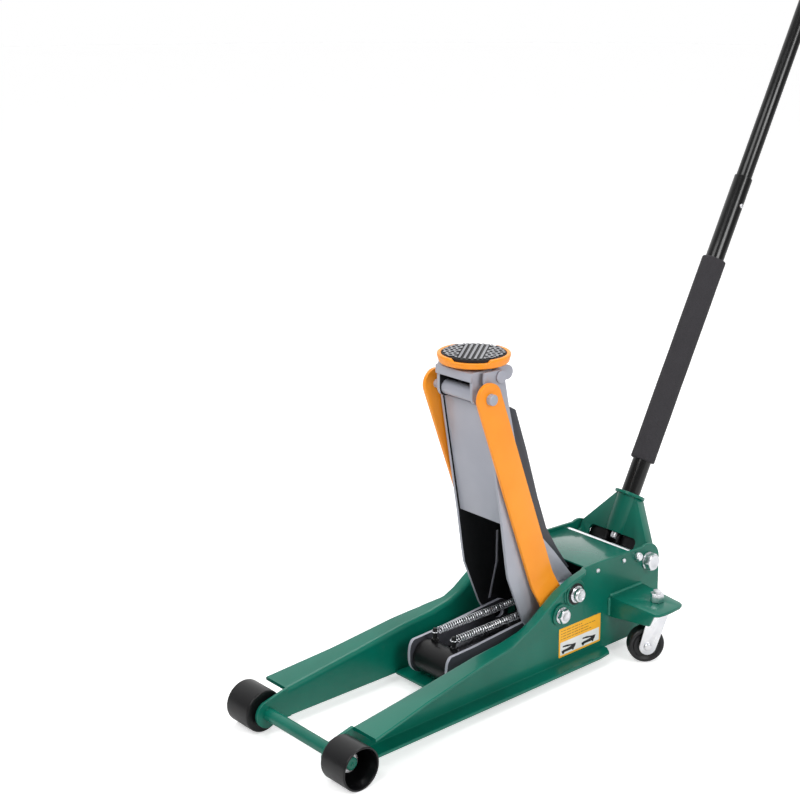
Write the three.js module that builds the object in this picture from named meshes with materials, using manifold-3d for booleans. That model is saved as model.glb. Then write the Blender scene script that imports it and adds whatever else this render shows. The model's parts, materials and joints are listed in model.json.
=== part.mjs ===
// Low-profile hydraulic floor jack, raised, with its two-piece handle leaning back.
// Millimetres, +Z up, the saddle end towards -X, the handle end towards +X, left side at -Y.
// Everything is placed from the front axle (X = 0) and the floor (Z = 0); the last lines
// move the finished group so that its box is centred over the origin.
import * as THREE from "three";
import { mergeVertices } from "three/addons/utils/BufferGeometryUtils.js";
import Module from "manifold-3d";

const wasm = await Module();
wasm.setup();

// ---------- driving dimensions ----------
const GAP = 0.3;                        // between pieces that touch
const RUN = 0.4;                        // radial play of a moving pin in its hole

// frame
const PLATE = 5;                        // side plate thickness
const FRAME_HALF = 70;                  // mid-plane to the inner face of a side plate
const FRAME_BOTTOM = 14.4;              // ground clearance of the side plates
const FRAME_REAR = 27;                  // side plate hump radius around the handle pivot
const LOBE_RADIUS = 20;                 // side plate nose around the front axle
const FLANGE_FRONT = 45;                // top flange width at the nose
const FLANGE_REAR = 13.5;               // top flange width beside the lift arm
const FOOT_WIDTH = 25.7;                // bottom flange width
const FOOT_END = 522;                   // rear end of the bottom flange
const MAIN = { x: 457, z: 123.1 };      // lift arm pivot
const MAIN_RADIUS = 12;
const HANDLE = { x: 624.7, z: 129.2 };  // handle socket pivot
const TIE = { x: 599, z: 143 };         // rod that ties the side plates together
const TIE_RADIUS = 6;
const COVER = { front: 495, rear: 592, top: 150, thickness: 3 };
const CROSS = { front: 231, rear: 267, thickness: 5 };
const BASE = { front: 500, rear: 604, thickness: 5.5 };

// front axle and rollers
const ROLLER_RADIUS = 30;
const ROLLER_WIDTH = 49;
const ROLLER_WALL = 3;
const AXLE_RADIUS = 9;
const AXLE_COLLAR = 4.6;                // collar between a side plate and its roller
const HUB_RADIUS = 14;
const HUB_LENGTH = 20;
const RING_THICKNESS = 2.4;

// casters
const CASTER = { x: 577, y: 135 };      // swivel axis
const CASTER_TRAIL = 16.3;
const CASTER_HEADING = 145.6;           // degrees from +X, seen from above
const WHEEL_RADIUS = 28.2;
const WHEEL_WIDTH = 20;
const FORK_PLATE = 3;
const STEM_RADIUS = 6;
const BRACKET_TOP = 95;
const BRACKET_REACH = 97;               // from the side plate to the outer edge
const BRACKET_FRONT = 536;
const BRACKET_DEPTH = 74;
const BRACKET_DROP = 33;                // height of the bent front face

// lift arm, links and saddle
const ARM_LENGTH = 377.2;
const ARM_ANGLE = 69.5;                 // above the horizontal, raised
const ARM_HALF = 43.5;                  // mid-plane to the inner face of an arm plate
const ARM_PLATE = 5;
const ARM_BASE_RADIUS = 28;
const ARM_TIP_RADIUS = 10.3;
const LUG = { x: -45, z: -53.1 };       // drive lug, from the lift arm pivot
const LUG_RADIUS = 17;
const LINK_OFFSET = { x: -29.6, z: -25.2 };  // link pivots, from the arm pivots
const LINK_WIDTH = 45;
const LINK_PLATE = 6;
const LINK_HALF = 52;                   // mid-plane to the inner face of a link's upper part
const LINK_JOGGLE = 10;                 // how far the lower end steps outwards
const LINK_PIN_RADIUS = 6.5;
const SADDLE_PIN_RADIUS = 8;
const EAR_HALF = 31;                    // mid-plane to the inner face of a bracket ear
const EAR_PLATE = 5.5;
const SADDLE_X = -6;                    // saddle axis, from the top arm pivot
const SADDLE_RADIUS = 52.7;
const SADDLE_FLOOR = 11.5;              // top arm pivot to the underside of the cup
const SADDLE_HEIGHT = 16;
const PAD_TOP = 29.1;                   // top arm pivot to the top of the pad
const PAD_RADIUS = 46.5;
const SADDLE_STEM = 10;

// hydraulics
const RAM_Z = 50;
const RAM_RADIUS = 17;
const RAM_REAR = 430;
const CROSSBAR = { x: 258, radius: 24 };
const YOKE_HALF = 37;                   // mid-plane to the inner face of a yoke plate
const YOKE_PLATE = 5.5;
const YOKE_NOSE = 28;
const YOKE_EYE = 20;
const SPRING = { y: 20, z: 88, radius: 6, rear: 431.5 };
const HOOK_RADIUS = 3.5;
const TANK_RADIUS = 29;
const TANK_FRONT = 385;
const BLOCK = { front: 527, rear: 580, half: 56, top: 138 };
const ROLLER_DROP = 22;                 // pump cam, below the handle pivot
const CAM_RADIUS = 8;
const PLUNGER_RADIUS = 8;
const PLUNGER_HEAD = { radius: 13, thickness: 4 };
const PUMP_CLEARANCE = 1.2;

// handle; distances run along its own axis from the pivot
const HANDLE_LEAN = 28.55;              // degrees behind vertical
const SOCKET = { bottom: 24, top: 90, radius: 19, ring: 24, ringThickness: 3.5 };
const SOCKET_FRONT = 8;                 // pivot to the front face of the socket plate
const SOCKET_PLATE = 4;
const SOCKET_FOOT = -2;                 // lower edge of the socket plate
const WINDOW = { half: 48, top: 24, corner: 8 };
const SOCKET_HALF = 66;                 // half width of the socket at its foot
const TUBE_RADIUS = 15;
const TUBE_WALL = 1.9;
const LOWER_TUBE = { from: 44, to: 640 };
const UPPER_TUBE = { from: 560, to: 1232 };
const GRIP = { from: 146, to: 495, radius: 20 };
const BUTTON_AT = 591;
const BUTTON_RADIUS = 4;
const CAP_THICKNESS = 8;

// fasteners
const LINK_BOLT = { radius: 9, across: 20, head: 9 };
const HANDLE_BOLT = { radius: 8, across: 24, head: 10 };
const SCREW = { radius: 3, head: 3.6, height: 3 };

// ---------- derived places ----------
const rad = THREE.MathUtils.degToRad;
const webOuter = FRAME_HALF + PLATE;
const armX = -Math.cos(rad(ARM_ANGLE));
const armZ = Math.sin(rad(ARM_ANGLE));
const TOP = { x: MAIN.x + armX * ARM_LENGTH, z: MAIN.z + armZ * ARM_LENGTH };
const LINK_FOOT = { x: MAIN.x + LINK_OFFSET.x, z: MAIN.z + LINK_OFFSET.z };
const LINK_HEAD = { x: TOP.x + LINK_OFFSET.x, z: TOP.z + LINK_OFFSET.z };
const DRIVE = { x: MAIN.x + LUG.x, z: MAIN.z + LUG.z };
const axleZ = ROLLER_RADIUS;

// ---------- materials ----------
const paint = (color, roughness, metalness) =>
  new THREE.MeshStandardMaterial({ color, roughness, metalness });
const MATERIAL = {
  frame: paint(0x0b6a55, 0.35, 0.1),
  cover: paint(0x5b968c, 0.35, 0.1),
  arm: paint(0xa9abb8, 0.35, 0.5),
  link: paint(0xf6952f, 0.4, 0.1),
  black: paint(0x18191b, 0.35, 0.4),
  yoke: paint(0x2c2e33, 0.4, 0.5),
  zinc: paint(0xd9dade, 0.3, 0.9),
  steel: paint(0xb4b7bd, 0.3, 0.9),
  rubber: paint(0x1b1b1c, 0.85, 0),
  pad: paint(0xb9b9ba, 0.8, 0),
  foam: paint(0x38363a, 0.95, 0),
};

// ---------- solids ----------
function toSolid(geometry) {
  const bare = geometry.clone();
  bare.deleteAttribute("normal");
  bare.deleteAttribute("uv");
  const merged = mergeVertices(bare, 1e-4);
  const vertProperties = new Float32Array(merged.attributes.position.array);
  const triVerts = new Uint32Array(merged.index.array);
  return new wasm.Manifold(new wasm.Mesh({ numProp: 3, vertProperties, triVerts }));
}

function toGeometry(solid) {
  const { vertProperties, triVerts } = solid.getMesh();
  const geometry = new THREE.BufferGeometry();
  geometry.setAttribute("position", new THREE.BufferAttribute(new Float32Array(vertProperties), 3));
  geometry.setIndex(new THREE.BufferAttribute(new Uint32Array(triVerts), 1));
  geometry.computeVertexNormals();
  return geometry;
}

const join = (...geometries) => toGeometry(
  geometries.map(toSolid).reduce((whole, piece) => whole.add(piece)));

const cut = (base, ...tools) => toGeometry(
  tools.map(toSolid).reduce((whole, piece) => whole.subtract(piece), toSolid(base)));

const common = (a, b) => toGeometry(toSolid(a).intersect(toSolid(b)));

// A box from its low and high corners.
function block(x0, x1, y0, y1, z0, z1) {
  const geometry = new THREE.BoxGeometry(x1 - x0, y1 - y0, z1 - z0);
  return geometry.translate((x0 + x1) / 2, (y0 + y1) / 2, (z0 + z1) / 2);
}

// A flat outline drawn in X and Z, made solid between two Y values.
function slab(shape, y0, y1, curveSegments = 8) {
  const depth = Math.abs(y1 - y0);
  const geometry = new THREE.ExtrudeGeometry(shape, { depth, bevelEnabled: false, curveSegments });
  return geometry.rotateX(Math.PI / 2).translate(0, Math.max(y0, y1), 0);
}

// A flat outline drawn in Y and Z, made solid between two X values.
function wall(shape, x0, x1) {
  const geometry = new THREE.ExtrudeGeometry(shape, { depth: x1 - x0, bevelEnabled: false, curveSegments: 8 });
  return geometry.rotateX(Math.PI / 2).rotateZ(Math.PI / 2).translate(x0, 0, 0);
}

// A flat outline drawn in X and Y, made solid between two Z values.
function layer(shape, z0, z1, curveSegments = 8) {
  const depth = z1 - z0;
  const geometry = new THREE.ExtrudeGeometry(shape, { depth, bevelEnabled: false, curveSegments });
  return geometry.translate(0, 0, z0);
}

const outline = (points) => new THREE.Shape(points.map(([a, b]) => new THREE.Vector2(a, b)));

// A round bar along Y, X or Z.
function barY(radius, y0, y1, x = 0, z = 0, segments = 20) {
  const geometry = new THREE.CylinderGeometry(radius, radius, Math.abs(y1 - y0), segments);
  return geometry.translate(x, (y0 + y1) / 2, z);
}

function barX(radius, x0, x1, y = 0, z = 0, segments = 20) {
  const geometry = new THREE.CylinderGeometry(radius, radius, x1 - x0, segments);
  return geometry.rotateZ(Math.PI / 2).translate((x0 + x1) / 2, y, z);
}

function barZ(radius, z0, z1, x = 0, y = 0, segments = 20) {
  const geometry = new THREE.CylinderGeometry(radius, radius, z1 - z0, segments);
  return geometry.rotateX(Math.PI / 2).translate(x, y, (z0 + z1) / 2);
}

// A hexagon along Y, given across its flats.
const hexY = (across, y0, y1, x, z) => barY(across / Math.sqrt(3), y0, y1, x, z, 6);

// A turned piece about the Y axis from [radius, y] points, mirrored on the left side.
function turned(points, side = 1, x = 0, z = 0, segments = 20) {
  const profile = points.map(([r, y]) => new THREE.Vector2(r, y * side));
  if (side < 0) profile.reverse();
  return new THREE.LatheGeometry(profile, segments).translate(x, 0, z);
}

// A turned piece about the Z axis from [radius, z] points.
function turnedZ(points, x = 0, y = 0, segments = 20) {
  const profile = points.map(([r, z]) => new THREE.Vector2(r, z));
  return new THREE.LatheGeometry(profile, segments).rotateX(Math.PI / 2).translate(x, y, 0);
}

// The two sides of the jack. "left" is at -Y.
const SIDES = [["left", -1], ["right", 1]];

const jack = new THREE.Group();

function put(name, geometry, material, parent = jack) {
  const mesh = new THREE.Mesh(geometry, material);
  mesh.name = name;
  parent.add(mesh);
}

// ---------- side plates ----------
const FLANGE_FRONT_X = 32;
const topLine = [
  [28, 57], [151, 73], [249, 87], [303, 91.6], [343, 99], [364, 108], [384, 121],
  [415, 140], [443, 151], [468, 156.4], [513, 157], [HANDLE.x - 12, HANDLE.z + FRAME_REAR - 2.5],
];

function webShape() {
  const rearX = HANDLE.x + FRAME_REAR;
  const shape = new THREE.Shape();
  shape.absarc(0, axleZ, LOBE_RADIUS, rad(-50), rad(110), true);
  for (const [x, z] of topLine) shape.lineTo(x, z);
  shape.absarc(HANDLE.x, HANDLE.z, FRAME_REAR, rad(90), 0, true);
  shape.lineTo(rearX, 62);
  shape.lineTo(610, FRAME_BOTTOM);
  shape.closePath();
  return shape;
}

// The top flange is a strip under the top line, trimmed to its plan shape.
function flangeBand() {
  const along = topLine.filter(([x]) => x < 500);
  const lower = along.map(([x, z]) => [x + 1, z - PLATE]).reverse();
  return outline([...along, ...lower]);
}

function flangePlan(side) {
  const inner = (webOuter - 1) * side;
  const y = (width) => (webOuter + width) * side;
  return outline([
    [FLANGE_FRONT_X, inner], [FLANGE_FRONT_X, y(FLANGE_FRONT)], [138, y(FLANGE_FRONT - 12)],
    [279, y(FLANGE_FRONT - 21)], [308, y(FLANGE_FRONT - 23.5)], [340, y(FLANGE_REAR)],
    [466, y(FLANGE_REAR)], [474, y(FLANGE_REAR - 4)], [479, inner],
  ]);
}

function footPlan(side) {
  const inner = (webOuter - 1) * side;
  const tip = FOOT_WIDTH * 0.45;
  const y = (width) => (webOuter + width) * side;
  return outline([
    [ROLLER_RADIUS + 8, inner], [ROLLER_RADIUS + 8, y(FOOT_WIDTH)], [FOOT_END - 30, y(FOOT_WIDTH)],
    [FOOT_END - 8, y(FOOT_WIDTH - 3)], [FOOT_END, y(tip)], [FOOT_END - 9, y(3)], [FOOT_END - 14, inner],
  ]);
}

const boss = (radius, height, x, z, side) =>
  barY(radius, (webOuter - 1) * side, (webOuter + height) * side, x, z);

const MAIN_BOSS = { radius: 20, height: 4 };
const LINK_BOSS = { radius: 17, height: 3 };

function sidePlate(side) {
  const web = slab(webShape(), FRAME_HALF * side, webOuter * side);
  const flange = common(
    slab(flangeBand(), webOuter * side - side, (webOuter + FLANGE_FRONT) * side),
    layer(flangePlan(side), 0, HANDLE.z * 2));
  const foot = layer(footPlan(side), FRAME_BOTTOM, FRAME_BOTTOM + PLATE);
  const whole = join(
    web, flange, foot,
    boss(HUB_RADIUS, AXLE_COLLAR, 0, axleZ, side),
    boss(MAIN_BOSS.radius, MAIN_BOSS.height, MAIN.x, MAIN.z, side),
    boss(LINK_BOSS.radius, LINK_BOSS.height, LINK_FOOT.x, LINK_FOOT.z, side));
  const hole = (radius, at) =>
    barY(radius + RUN, (FRAME_HALF - 5) * side, (webOuter + 9) * side, at.x, at.z);
  return cut(
    whole,
    hole(AXLE_RADIUS, { x: 0, z: axleZ }),
    hole(MAIN_RADIUS, MAIN),
    hole(LINK_BOLT.radius, LINK_FOOT),
    hole(HANDLE_BOLT.radius, HANDLE),
    hole(TIE_RADIUS, TIE),
    ...screwPlaces().map((at) => hole(SCREW.radius, at)));
}

const screwPlaces = () =>
  [COVER.front + 13.3, COVER.rear - 24.5].map((x) => ({ x, z: COVER.top - COVER.thickness - 2.5 }));

for (const [name, side] of SIDES) put(`side_plate_${name}`, sidePlate(side), MATERIAL.frame);

// ---------- plates and rods between the side plates ----------
const innerHalf = FRAME_HALF - GAP;

function crossPlates() {
  const crossTop = FRAME_BOTTOM + CROSS.thickness;
  const baseTop = FRAME_BOTTOM + BASE.thickness;
  put("front_cross_plate",
    block(CROSS.front, CROSS.rear, -innerHalf, innerHalf, FRAME_BOTTOM, crossTop), MATERIAL.frame);
  put("rear_base_plate",
    block(BASE.front, BASE.rear, -innerHalf, innerHalf, FRAME_BOTTOM, baseTop), MATERIAL.frame);
}

// The cover has a flap bent down at each side, which its screws hold.
function coverPlate() {
  const flapDrop = 11;
  const top = block(COVER.front, COVER.rear, -innerHalf, innerHalf, COVER.top - COVER.thickness, COVER.top);
  const flaps = SIDES.map(([, side]) => {
    const inner = (innerHalf - COVER.thickness) * side;
    const [low, high] = [inner, innerHalf * side].sort((a, b) => a - b);
    return block(COVER.front, COVER.rear - 12, low, high, COVER.top - flapDrop, COVER.top - 1);
  });
  const holes = screwPlaces().map(({ x, z }) => barY(SCREW.radius + GAP, -webOuter, webOuter, x, z, 10));
  return cut(join(top, ...flaps), ...holes);
}

function tieRod() {
  const end = webOuter + 1;
  const head = [[6.6, end], [6.6, end + 5], [5, end + 7]];
  const profile = [
    [0, -end - 7], [5, -end - 7], [6.6, -end - 5], [6.6, -end], [TIE_RADIUS, -end],
    [TIE_RADIUS, end], ...head, [0, end + 7],
  ];
  return turned(profile, 1, TIE.x, TIE.z, 16);
}

crossPlates();
put("cover_plate", coverPlate(), MATERIAL.cover);
put("tie_rod", tieRod(), MATERIAL.zinc);

for (const [sideName, side] of SIDES) {
  screwPlaces().forEach(({ x, z }, i) => {
    const profile = [
      [0, innerHalf - 7], [SCREW.radius, innerHalf - 7], [SCREW.radius, webOuter + GAP],
      [SCREW.head, webOuter + GAP], [SCREW.head - 1, webOuter + SCREW.height], [0, webOuter + SCREW.height],
    ];
    const place = i === 0 ? "front" : "rear";
    put(`cover_screw_${place}_${sideName}`, turned(profile, side, x, z, 10), MATERIAL.zinc);
  });
}

// ---------- front axle and rollers ----------
const rollerInner = webOuter + AXLE_COLLAR + 0.8;
const ringAt = rollerInner + HUB_LENGTH + 0.5;
const axleEnd = ringAt + RING_THICKNESS + 3;

put("front_axle", turned([
  [0, -axleEnd], [AXLE_RADIUS - 1, -axleEnd], [AXLE_RADIUS, -axleEnd + 1],
  [AXLE_RADIUS, axleEnd - 1], [AXLE_RADIUS - 1, axleEnd], [0, axleEnd],
], 1, 0, axleZ), MATERIAL.frame);

function rollerProfile() {
  const outer = rollerInner + ROLLER_WIDTH;
  const bore = AXLE_RADIUS + RUN;
  const inside = ROLLER_RADIUS - ROLLER_WALL;
  const points = [
    [bore, rollerInner], [ROLLER_RADIUS - 2.5, rollerInner], [ROLLER_RADIUS - 0.7, rollerInner + 0.7],
    [ROLLER_RADIUS, rollerInner + 2.5], [ROLLER_RADIUS, outer - 1.5], [ROLLER_RADIUS - 1.2, outer],
    [inside, outer], [inside, rollerInner + 9], [inside - 3, rollerInner + 6], [HUB_RADIUS, rollerInner + 6],
    [HUB_RADIUS, rollerInner + HUB_LENGTH], [bore, rollerInner + HUB_LENGTH],
  ];
  return [...points, points[0]];
}

for (const [name, side] of SIDES) {
  put(`front_roller_${name}`, turned(rollerProfile(), side, 0, axleZ, 28), MATERIAL.black);
  const inner = AXLE_RADIUS + GAP;
  const ring = [
    [inner, ringAt], [HUB_RADIUS, ringAt], [HUB_RADIUS, ringAt + RING_THICKNESS],
    [inner, ringAt + RING_THICKNESS], [inner, ringAt],
  ];
  put(`axle_ring_${name}`, turned(ring, side, 0, axleZ), MATERIAL.zinc);
}

// ---------- casters ----------
const bracketUnder = BRACKET_TOP - PLATE;
const axleHeight = WHEEL_RADIUS;

function casterBracket(side) {
  const y = (reach) => (webOuter + reach) * side;
  const rear = BRACKET_FRONT + BRACKET_DEPTH;
  const plan = outline([
    [BRACKET_FRONT, y(GAP)], [BRACKET_FRONT, y(BRACKET_REACH - 7)], [BRACKET_FRONT + 5, y(BRACKET_REACH - 2.5)],
    [BRACKET_FRONT + 16, y(BRACKET_REACH - 0.4)], [BRACKET_FRONT + 30, y(BRACKET_REACH)],
    [rear - 22, y(BRACKET_REACH - 1.5)], [rear - 13, y(BRACKET_REACH - 5)], [rear - 10, y(BRACKET_REACH - 12)],
    [rear + 3, y(GAP)],
  ]);
  const top = layer(plan, bracketUnder, BRACKET_TOP);
  const face = outline([
    [y(GAP), BRACKET_TOP - 1], [y(BRACKET_REACH - 8), BRACKET_TOP - 1],
    [y(BRACKET_REACH - 18), BRACKET_TOP - BRACKET_DROP + 10], [y(GAP), BRACKET_TOP - BRACKET_DROP],
  ]);
  const front = wall(face, BRACKET_FRONT, BRACKET_FRONT + PLATE);
  const hole = barZ(STEM_RADIUS + RUN, bracketUnder - 5, BRACKET_TOP + 5, CASTER.x, CASTER.y * side);
  return cut(join(top, front), hole);
}

// Fork, stem and nut; drawn with the wheel trailing along +X, then turned to its heading.
const forkInner = WHEEL_WIDTH / 2 + 1.6;

function casterFork() {
  const crown = bracketUnder - 0.6;
  const legTop = crown - FORK_PLATE;
  const leg = new THREE.Shape();
  leg.moveTo(-15, crown - 1);
  leg.lineTo(-15, crown - 9);
  leg.absarc(CASTER_TRAIL, axleHeight, 13, rad(200), rad(360), false);
  leg.lineTo(17, crown - 12);
  leg.lineTo(17, crown - 1);
  leg.closePath();
  const reach = forkInner + FORK_PLATE;
  const legs = SIDES.map(([, side]) => cut(
    slab(leg, forkInner * side, reach * side),
    barY(4 + GAP, (forkInner - 2) * side, (reach + 2) * side, CASTER_TRAIL, axleHeight, 16)));
  return join(
    block(-15, 17, -reach, reach, legTop, crown), ...legs,
    barZ(13, crown - 1, crown + 0.3),
    barZ(STEM_RADIUS, crown - 1, BRACKET_TOP + 17),
    barZ(10.5, BRACKET_TOP + GAP, BRACKET_TOP + 13, 0, 0, 6));
}

function casterWheel() {
  const half = WHEEL_WIDTH / 2;
  const bore = 4 + RUN;
  const points = [
    [bore, -half - 1], [9, -half - 1], [9, -half + 2.5], [20, -half + 2.5], [22, -half + 0.5],
    [WHEEL_RADIUS - 3, -half], [WHEEL_RADIUS - 0.8, -half + 2.2], [WHEEL_RADIUS, -half + 5],
  ];
  const mirrored = points.map(([r, y]) => [r, -y]).reverse();
  return turned([...points, ...mirrored, points[0]], 1, CASTER_TRAIL, axleHeight, 24);
}

function casterAxle() {
  const end = forkInner + FORK_PLATE + GAP;
  const half = [[4, end], [6.2, end], [5.6, end + 2.6], [4, end + 3.4], [0, end + 3.4]];
  const other = half.map(([r, y]) => [r, -y]).reverse();
  return turned([...other, ...half], 1, CASTER_TRAIL, axleHeight, 12);
}

for (const [name, side] of SIDES) {
  put(`caster_bracket_${name}`, casterBracket(side), MATERIAL.frame);
  const swivel = new THREE.Group();
  swivel.position.set(CASTER.x, CASTER.y * side, 0);
  swivel.rotation.z = rad(CASTER_HEADING);
  jack.add(swivel);
  put(`caster_fork_${name}`, casterFork(), MATERIAL.zinc, swivel);
  put(`caster_wheel_${name}`, casterWheel(), MATERIAL.rubber, swivel);
  put(`caster_axle_${name}`, casterAxle(), MATERIAL.zinc, swivel);
}

// ---------- pivots through the side plates ----------
const mainEnd = webOuter + MAIN_BOSS.height;

put("main_shaft", barY(MAIN_RADIUS, -mainEnd, mainEnd, MAIN.x, MAIN.z), MATERIAL.steel);

for (const [name, side] of SIDES) {
  const face = mainEnd + GAP;
  put(`main_shaft_bolt_${name}`, turned([
    [0, face], [13, face], [13, face + 2.6], [10.6, face + 2.6], [10.6, face + 9], [9, face + 10.6],
    [0, face + 10.6],
  ], side, MAIN.x, MAIN.z), MATERIAL.zinc);

  const linkFace = webOuter + LINK_BOSS.height + GAP;
  const linkInner = LINK_HALF + LINK_JOGGLE - 2.5;
  put(`link_pivot_bolt_${name}`, join(
    barY(LINK_BOLT.radius, linkInner * side, (linkFace + 1) * side, LINK_FOOT.x, LINK_FOOT.z),
    barY(LINK_BOLT.across * 0.62, linkFace * side, (linkFace + 2) * side, LINK_FOOT.x, LINK_FOOT.z),
    hexY(LINK_BOLT.across, (linkFace + 1) * side, (linkFace + LINK_BOLT.head) * side, LINK_FOOT.x, LINK_FOOT.z),
  ), MATERIAL.zinc);

  const handleFace = webOuter + GAP;
  const handleInner = SOCKET_HALF - SOCKET_PLATE - 2;
  put(`handle_pivot_bolt_${name}`, join(
    barY(HANDLE_BOLT.radius, handleInner * side, (handleFace + 1) * side, HANDLE.x, HANDLE.z),
    barY(HANDLE_BOLT.across * 0.66, handleFace * side, (handleFace + 3.5) * side, HANDLE.x, HANDLE.z),
    hexY(HANDLE_BOLT.across, (handleFace + 3) * side, (handleFace + 3.5 + HANDLE_BOLT.head) * side,
      HANDLE.x, HANDLE.z),
  ), MATERIAL.zinc);
}

// ---------- lift arm ----------
const armOuter = ARM_HALF + ARM_PLATE;

// A place beside the arm: u along it from the pivot, v square to it, towards the front.
const beside = (u, v) => [MAIN.x + armX * u - armZ * v, MAIN.z + armZ * u + armX * v];

const armFront = [[ARM_LENGTH - 31, 39], [163.6, 72.3], [103, 85], [80, 89]];
const armBack = [[63, -7.5], [112, 12.5], [165, 15], [250, 9], [330, -0.5]];

// The front of the tip is hollowed around the path of the link pin.
function armShape() {
  const pinArea = LINK_PIN_RADIUS + 1;
  const sweep = Math.hypot(LINK_OFFSET.x, LINK_OFFSET.z) - pinArea;
  const toPin = Math.atan2(-LINK_OFFSET.z, -LINK_OFFSET.x);
  const tipTop = Math.asin(ARM_TIP_RADIUS / sweep);
  const shape = new THREE.Shape();
  shape.absarc(TOP.x, TOP.z, ARM_TIP_RADIUS, rad(-30), rad(90), false);
  shape.absarc(TOP.x, TOP.z, sweep, Math.PI - tipTop, Math.PI + toPin, false);
  shape.absarc(LINK_HEAD.x, LINK_HEAD.z, pinArea, toPin, rad(-60), true);
  for (const [u, v] of armFront) shape.lineTo(...beside(u, v));
  shape.lineTo(DRIVE.x - LUG_RADIUS - 19, DRIVE.z + 25);
  shape.absarc(DRIVE.x, DRIVE.z, LUG_RADIUS, rad(205), rad(320), false);
  shape.absarc(MAIN.x, MAIN.z, ARM_BASE_RADIUS, rad(-50), rad(48), false);
  for (const [u, v] of armBack) shape.lineTo(...beside(u, v));
  shape.closePath();
  return shape;
}

function armPlate(side) {
  const whole = slab(armShape(), ARM_HALF * side, armOuter * side);
  const hole = (radius, at) => barY(radius, (ARM_HALF - 2) * side, (armOuter + 2) * side, at.x, at.z);
  return cut(whole, hole(MAIN_RADIUS + RUN, MAIN), hole(SADDLE_PIN_RADIUS + GAP, TOP));
}

const besideAll = (points) => outline(points.map(([u, v]) => beside(u, v)));
const armInside = ARM_HALF - GAP;

// The front plate lies between the arm plates, a little behind their front edges.
function armFrontPlate() {
  const recess = 2.5;
  const thickness = 5;
  const [low, high] = [[165, 71.8 - recess], [ARM_LENGTH - 30, 38.8 - recess]];
  const back = [high, low].map(([u, v]) => [u, v - thickness]);
  return slab(besideAll([low, high, ...back]), -armInside, armInside);
}

// The rear plate is a channel that stands out behind the arm plates.
function armRearPlate() {
  const line = [[16, -30], [65, -17], [105, -9], [160, -9], [240, -13], [ARM_LENGTH - 66, -14], [ARM_LENGTH - 56, -6]];
  const lip = line.map(([u, v], i) => [u + (i === 0 ? 4 : 0), v + (i === 0 ? 7 : 17)]).reverse();
  const thickness = 5;
  const inner = line.map(([u, v]) => [u, v + thickness]);
  const beyond = [[ARM_LENGTH, 40], [-30, 40], [-30, -20]];
  const shell = slab(besideAll([...line, ...lip]), -armInside, armInside);
  const room = armInside - thickness;
  return cut(shell, slab(besideAll([...inner, ...beyond]), -room, room));
}

for (const [name, side] of SIDES) {
  put(`arm_plate_${name}`, armPlate(side), MATERIAL.arm);
  const inner = EAR_HALF + GAP;
  const shoulder = EAR_HALF + EAR_PLATE + GAP;
  put(`saddle_pin_${name}`, turned([
    [0, inner], [SADDLE_PIN_RADIUS, inner], [SADDLE_PIN_RADIUS, shoulder], [11, shoulder],
    [11, ARM_HALF - GAP], [SADDLE_PIN_RADIUS, ARM_HALF - GAP], [SADDLE_PIN_RADIUS, armOuter + GAP],
    [9.4, armOuter + GAP], [9.4, armOuter + 2.2], [8.6, armOuter + 2.8], [0, armOuter + 2.8],
  ], side, TOP.x, TOP.z), MATERIAL.arm);
}
put("arm_front_plate", armFrontPlate(), MATERIAL.arm);
put("arm_rear_plate", armRearPlate(), MATERIAL.yoke);
put("arm_base_tube", turned([
  [MAIN_RADIUS + RUN, -armInside], [20, -armInside], [20, armInside], [MAIN_RADIUS + RUN, armInside],
  [MAIN_RADIUS + RUN, -armInside],
], 1, MAIN.x, MAIN.z), MATERIAL.yoke);

// ---------- links ----------
// Drawn upright from the lower pivot, then leant over beside the arm.
function link(side) {
  const half = LINK_WIDTH / 2;
  const shape = new THREE.Shape();
  shape.absarc(0, 0, half, Math.PI, Math.PI * 2, false);
  shape.absarc(0, ARM_LENGTH, half, 0, Math.PI, false);
  const inner = LINK_HALF;
  const stepFrom = 25;
  const stepTo = 60;
  const profile = [
    [inner + LINK_JOGGLE, -half - 2], [inner + LINK_JOGGLE, stepFrom], [inner, stepTo],
    [inner, ARM_LENGTH + half + 2],
  ];
  const outer = profile.map(([y, z]) => [y + LINK_PLATE, z]).reverse();
  const strip = outline([...profile, ...outer].map(([y, z]) => [y * side, z]));
  const flat = slab(shape, (inner - 5) * side, (inner + LINK_JOGGLE + LINK_PLATE + 5) * side, 10);
  const hole = (radius, z) => barY(radius, 40 * side, 80 * side, 0, z);
  return cut(common(flat, wall(strip, -half - 2, half + 2)),
    hole(LINK_BOLT.radius + RUN, 0), hole(LINK_PIN_RADIUS + RUN, ARM_LENGTH));
}

for (const [name, side] of SIDES) {
  const lean = new THREE.Group();
  lean.position.set(LINK_FOOT.x, 0, LINK_FOOT.z);
  lean.rotation.y = -rad(90 - ARM_ANGLE);
  jack.add(lean);
  put(`link_${name}`, link(side), MATERIAL.link, lean);
}

// The pin through the links and the bracket ears, with its middle spacer and its heads.
function linkPin() {
  const spacer = EAR_HALF - GAP;
  const head = LINK_HALF + LINK_PLATE + GAP;
  const half = [
    [11, spacer], [LINK_PIN_RADIUS, spacer], [LINK_PIN_RADIUS, head], [7.6, head],
    [7.6, head + 7], [6.4, head + 8], [0, head + 8],
  ];
  const other = half.map(([r, y]) => [r, -y]).reverse();
  return turned([...other, ...half], 1, LINK_HEAD.x, LINK_HEAD.z);
}
put("link_pin", linkPin(), MATERIAL.arm);

// ---------- saddle bracket, cup and pad ----------
const saddleX = TOP.x + SADDLE_X;
const bracketTop = TOP.z + ARM_TIP_RADIUS - 0.3;
const BRACKET_ROOF = 5.5;

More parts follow.
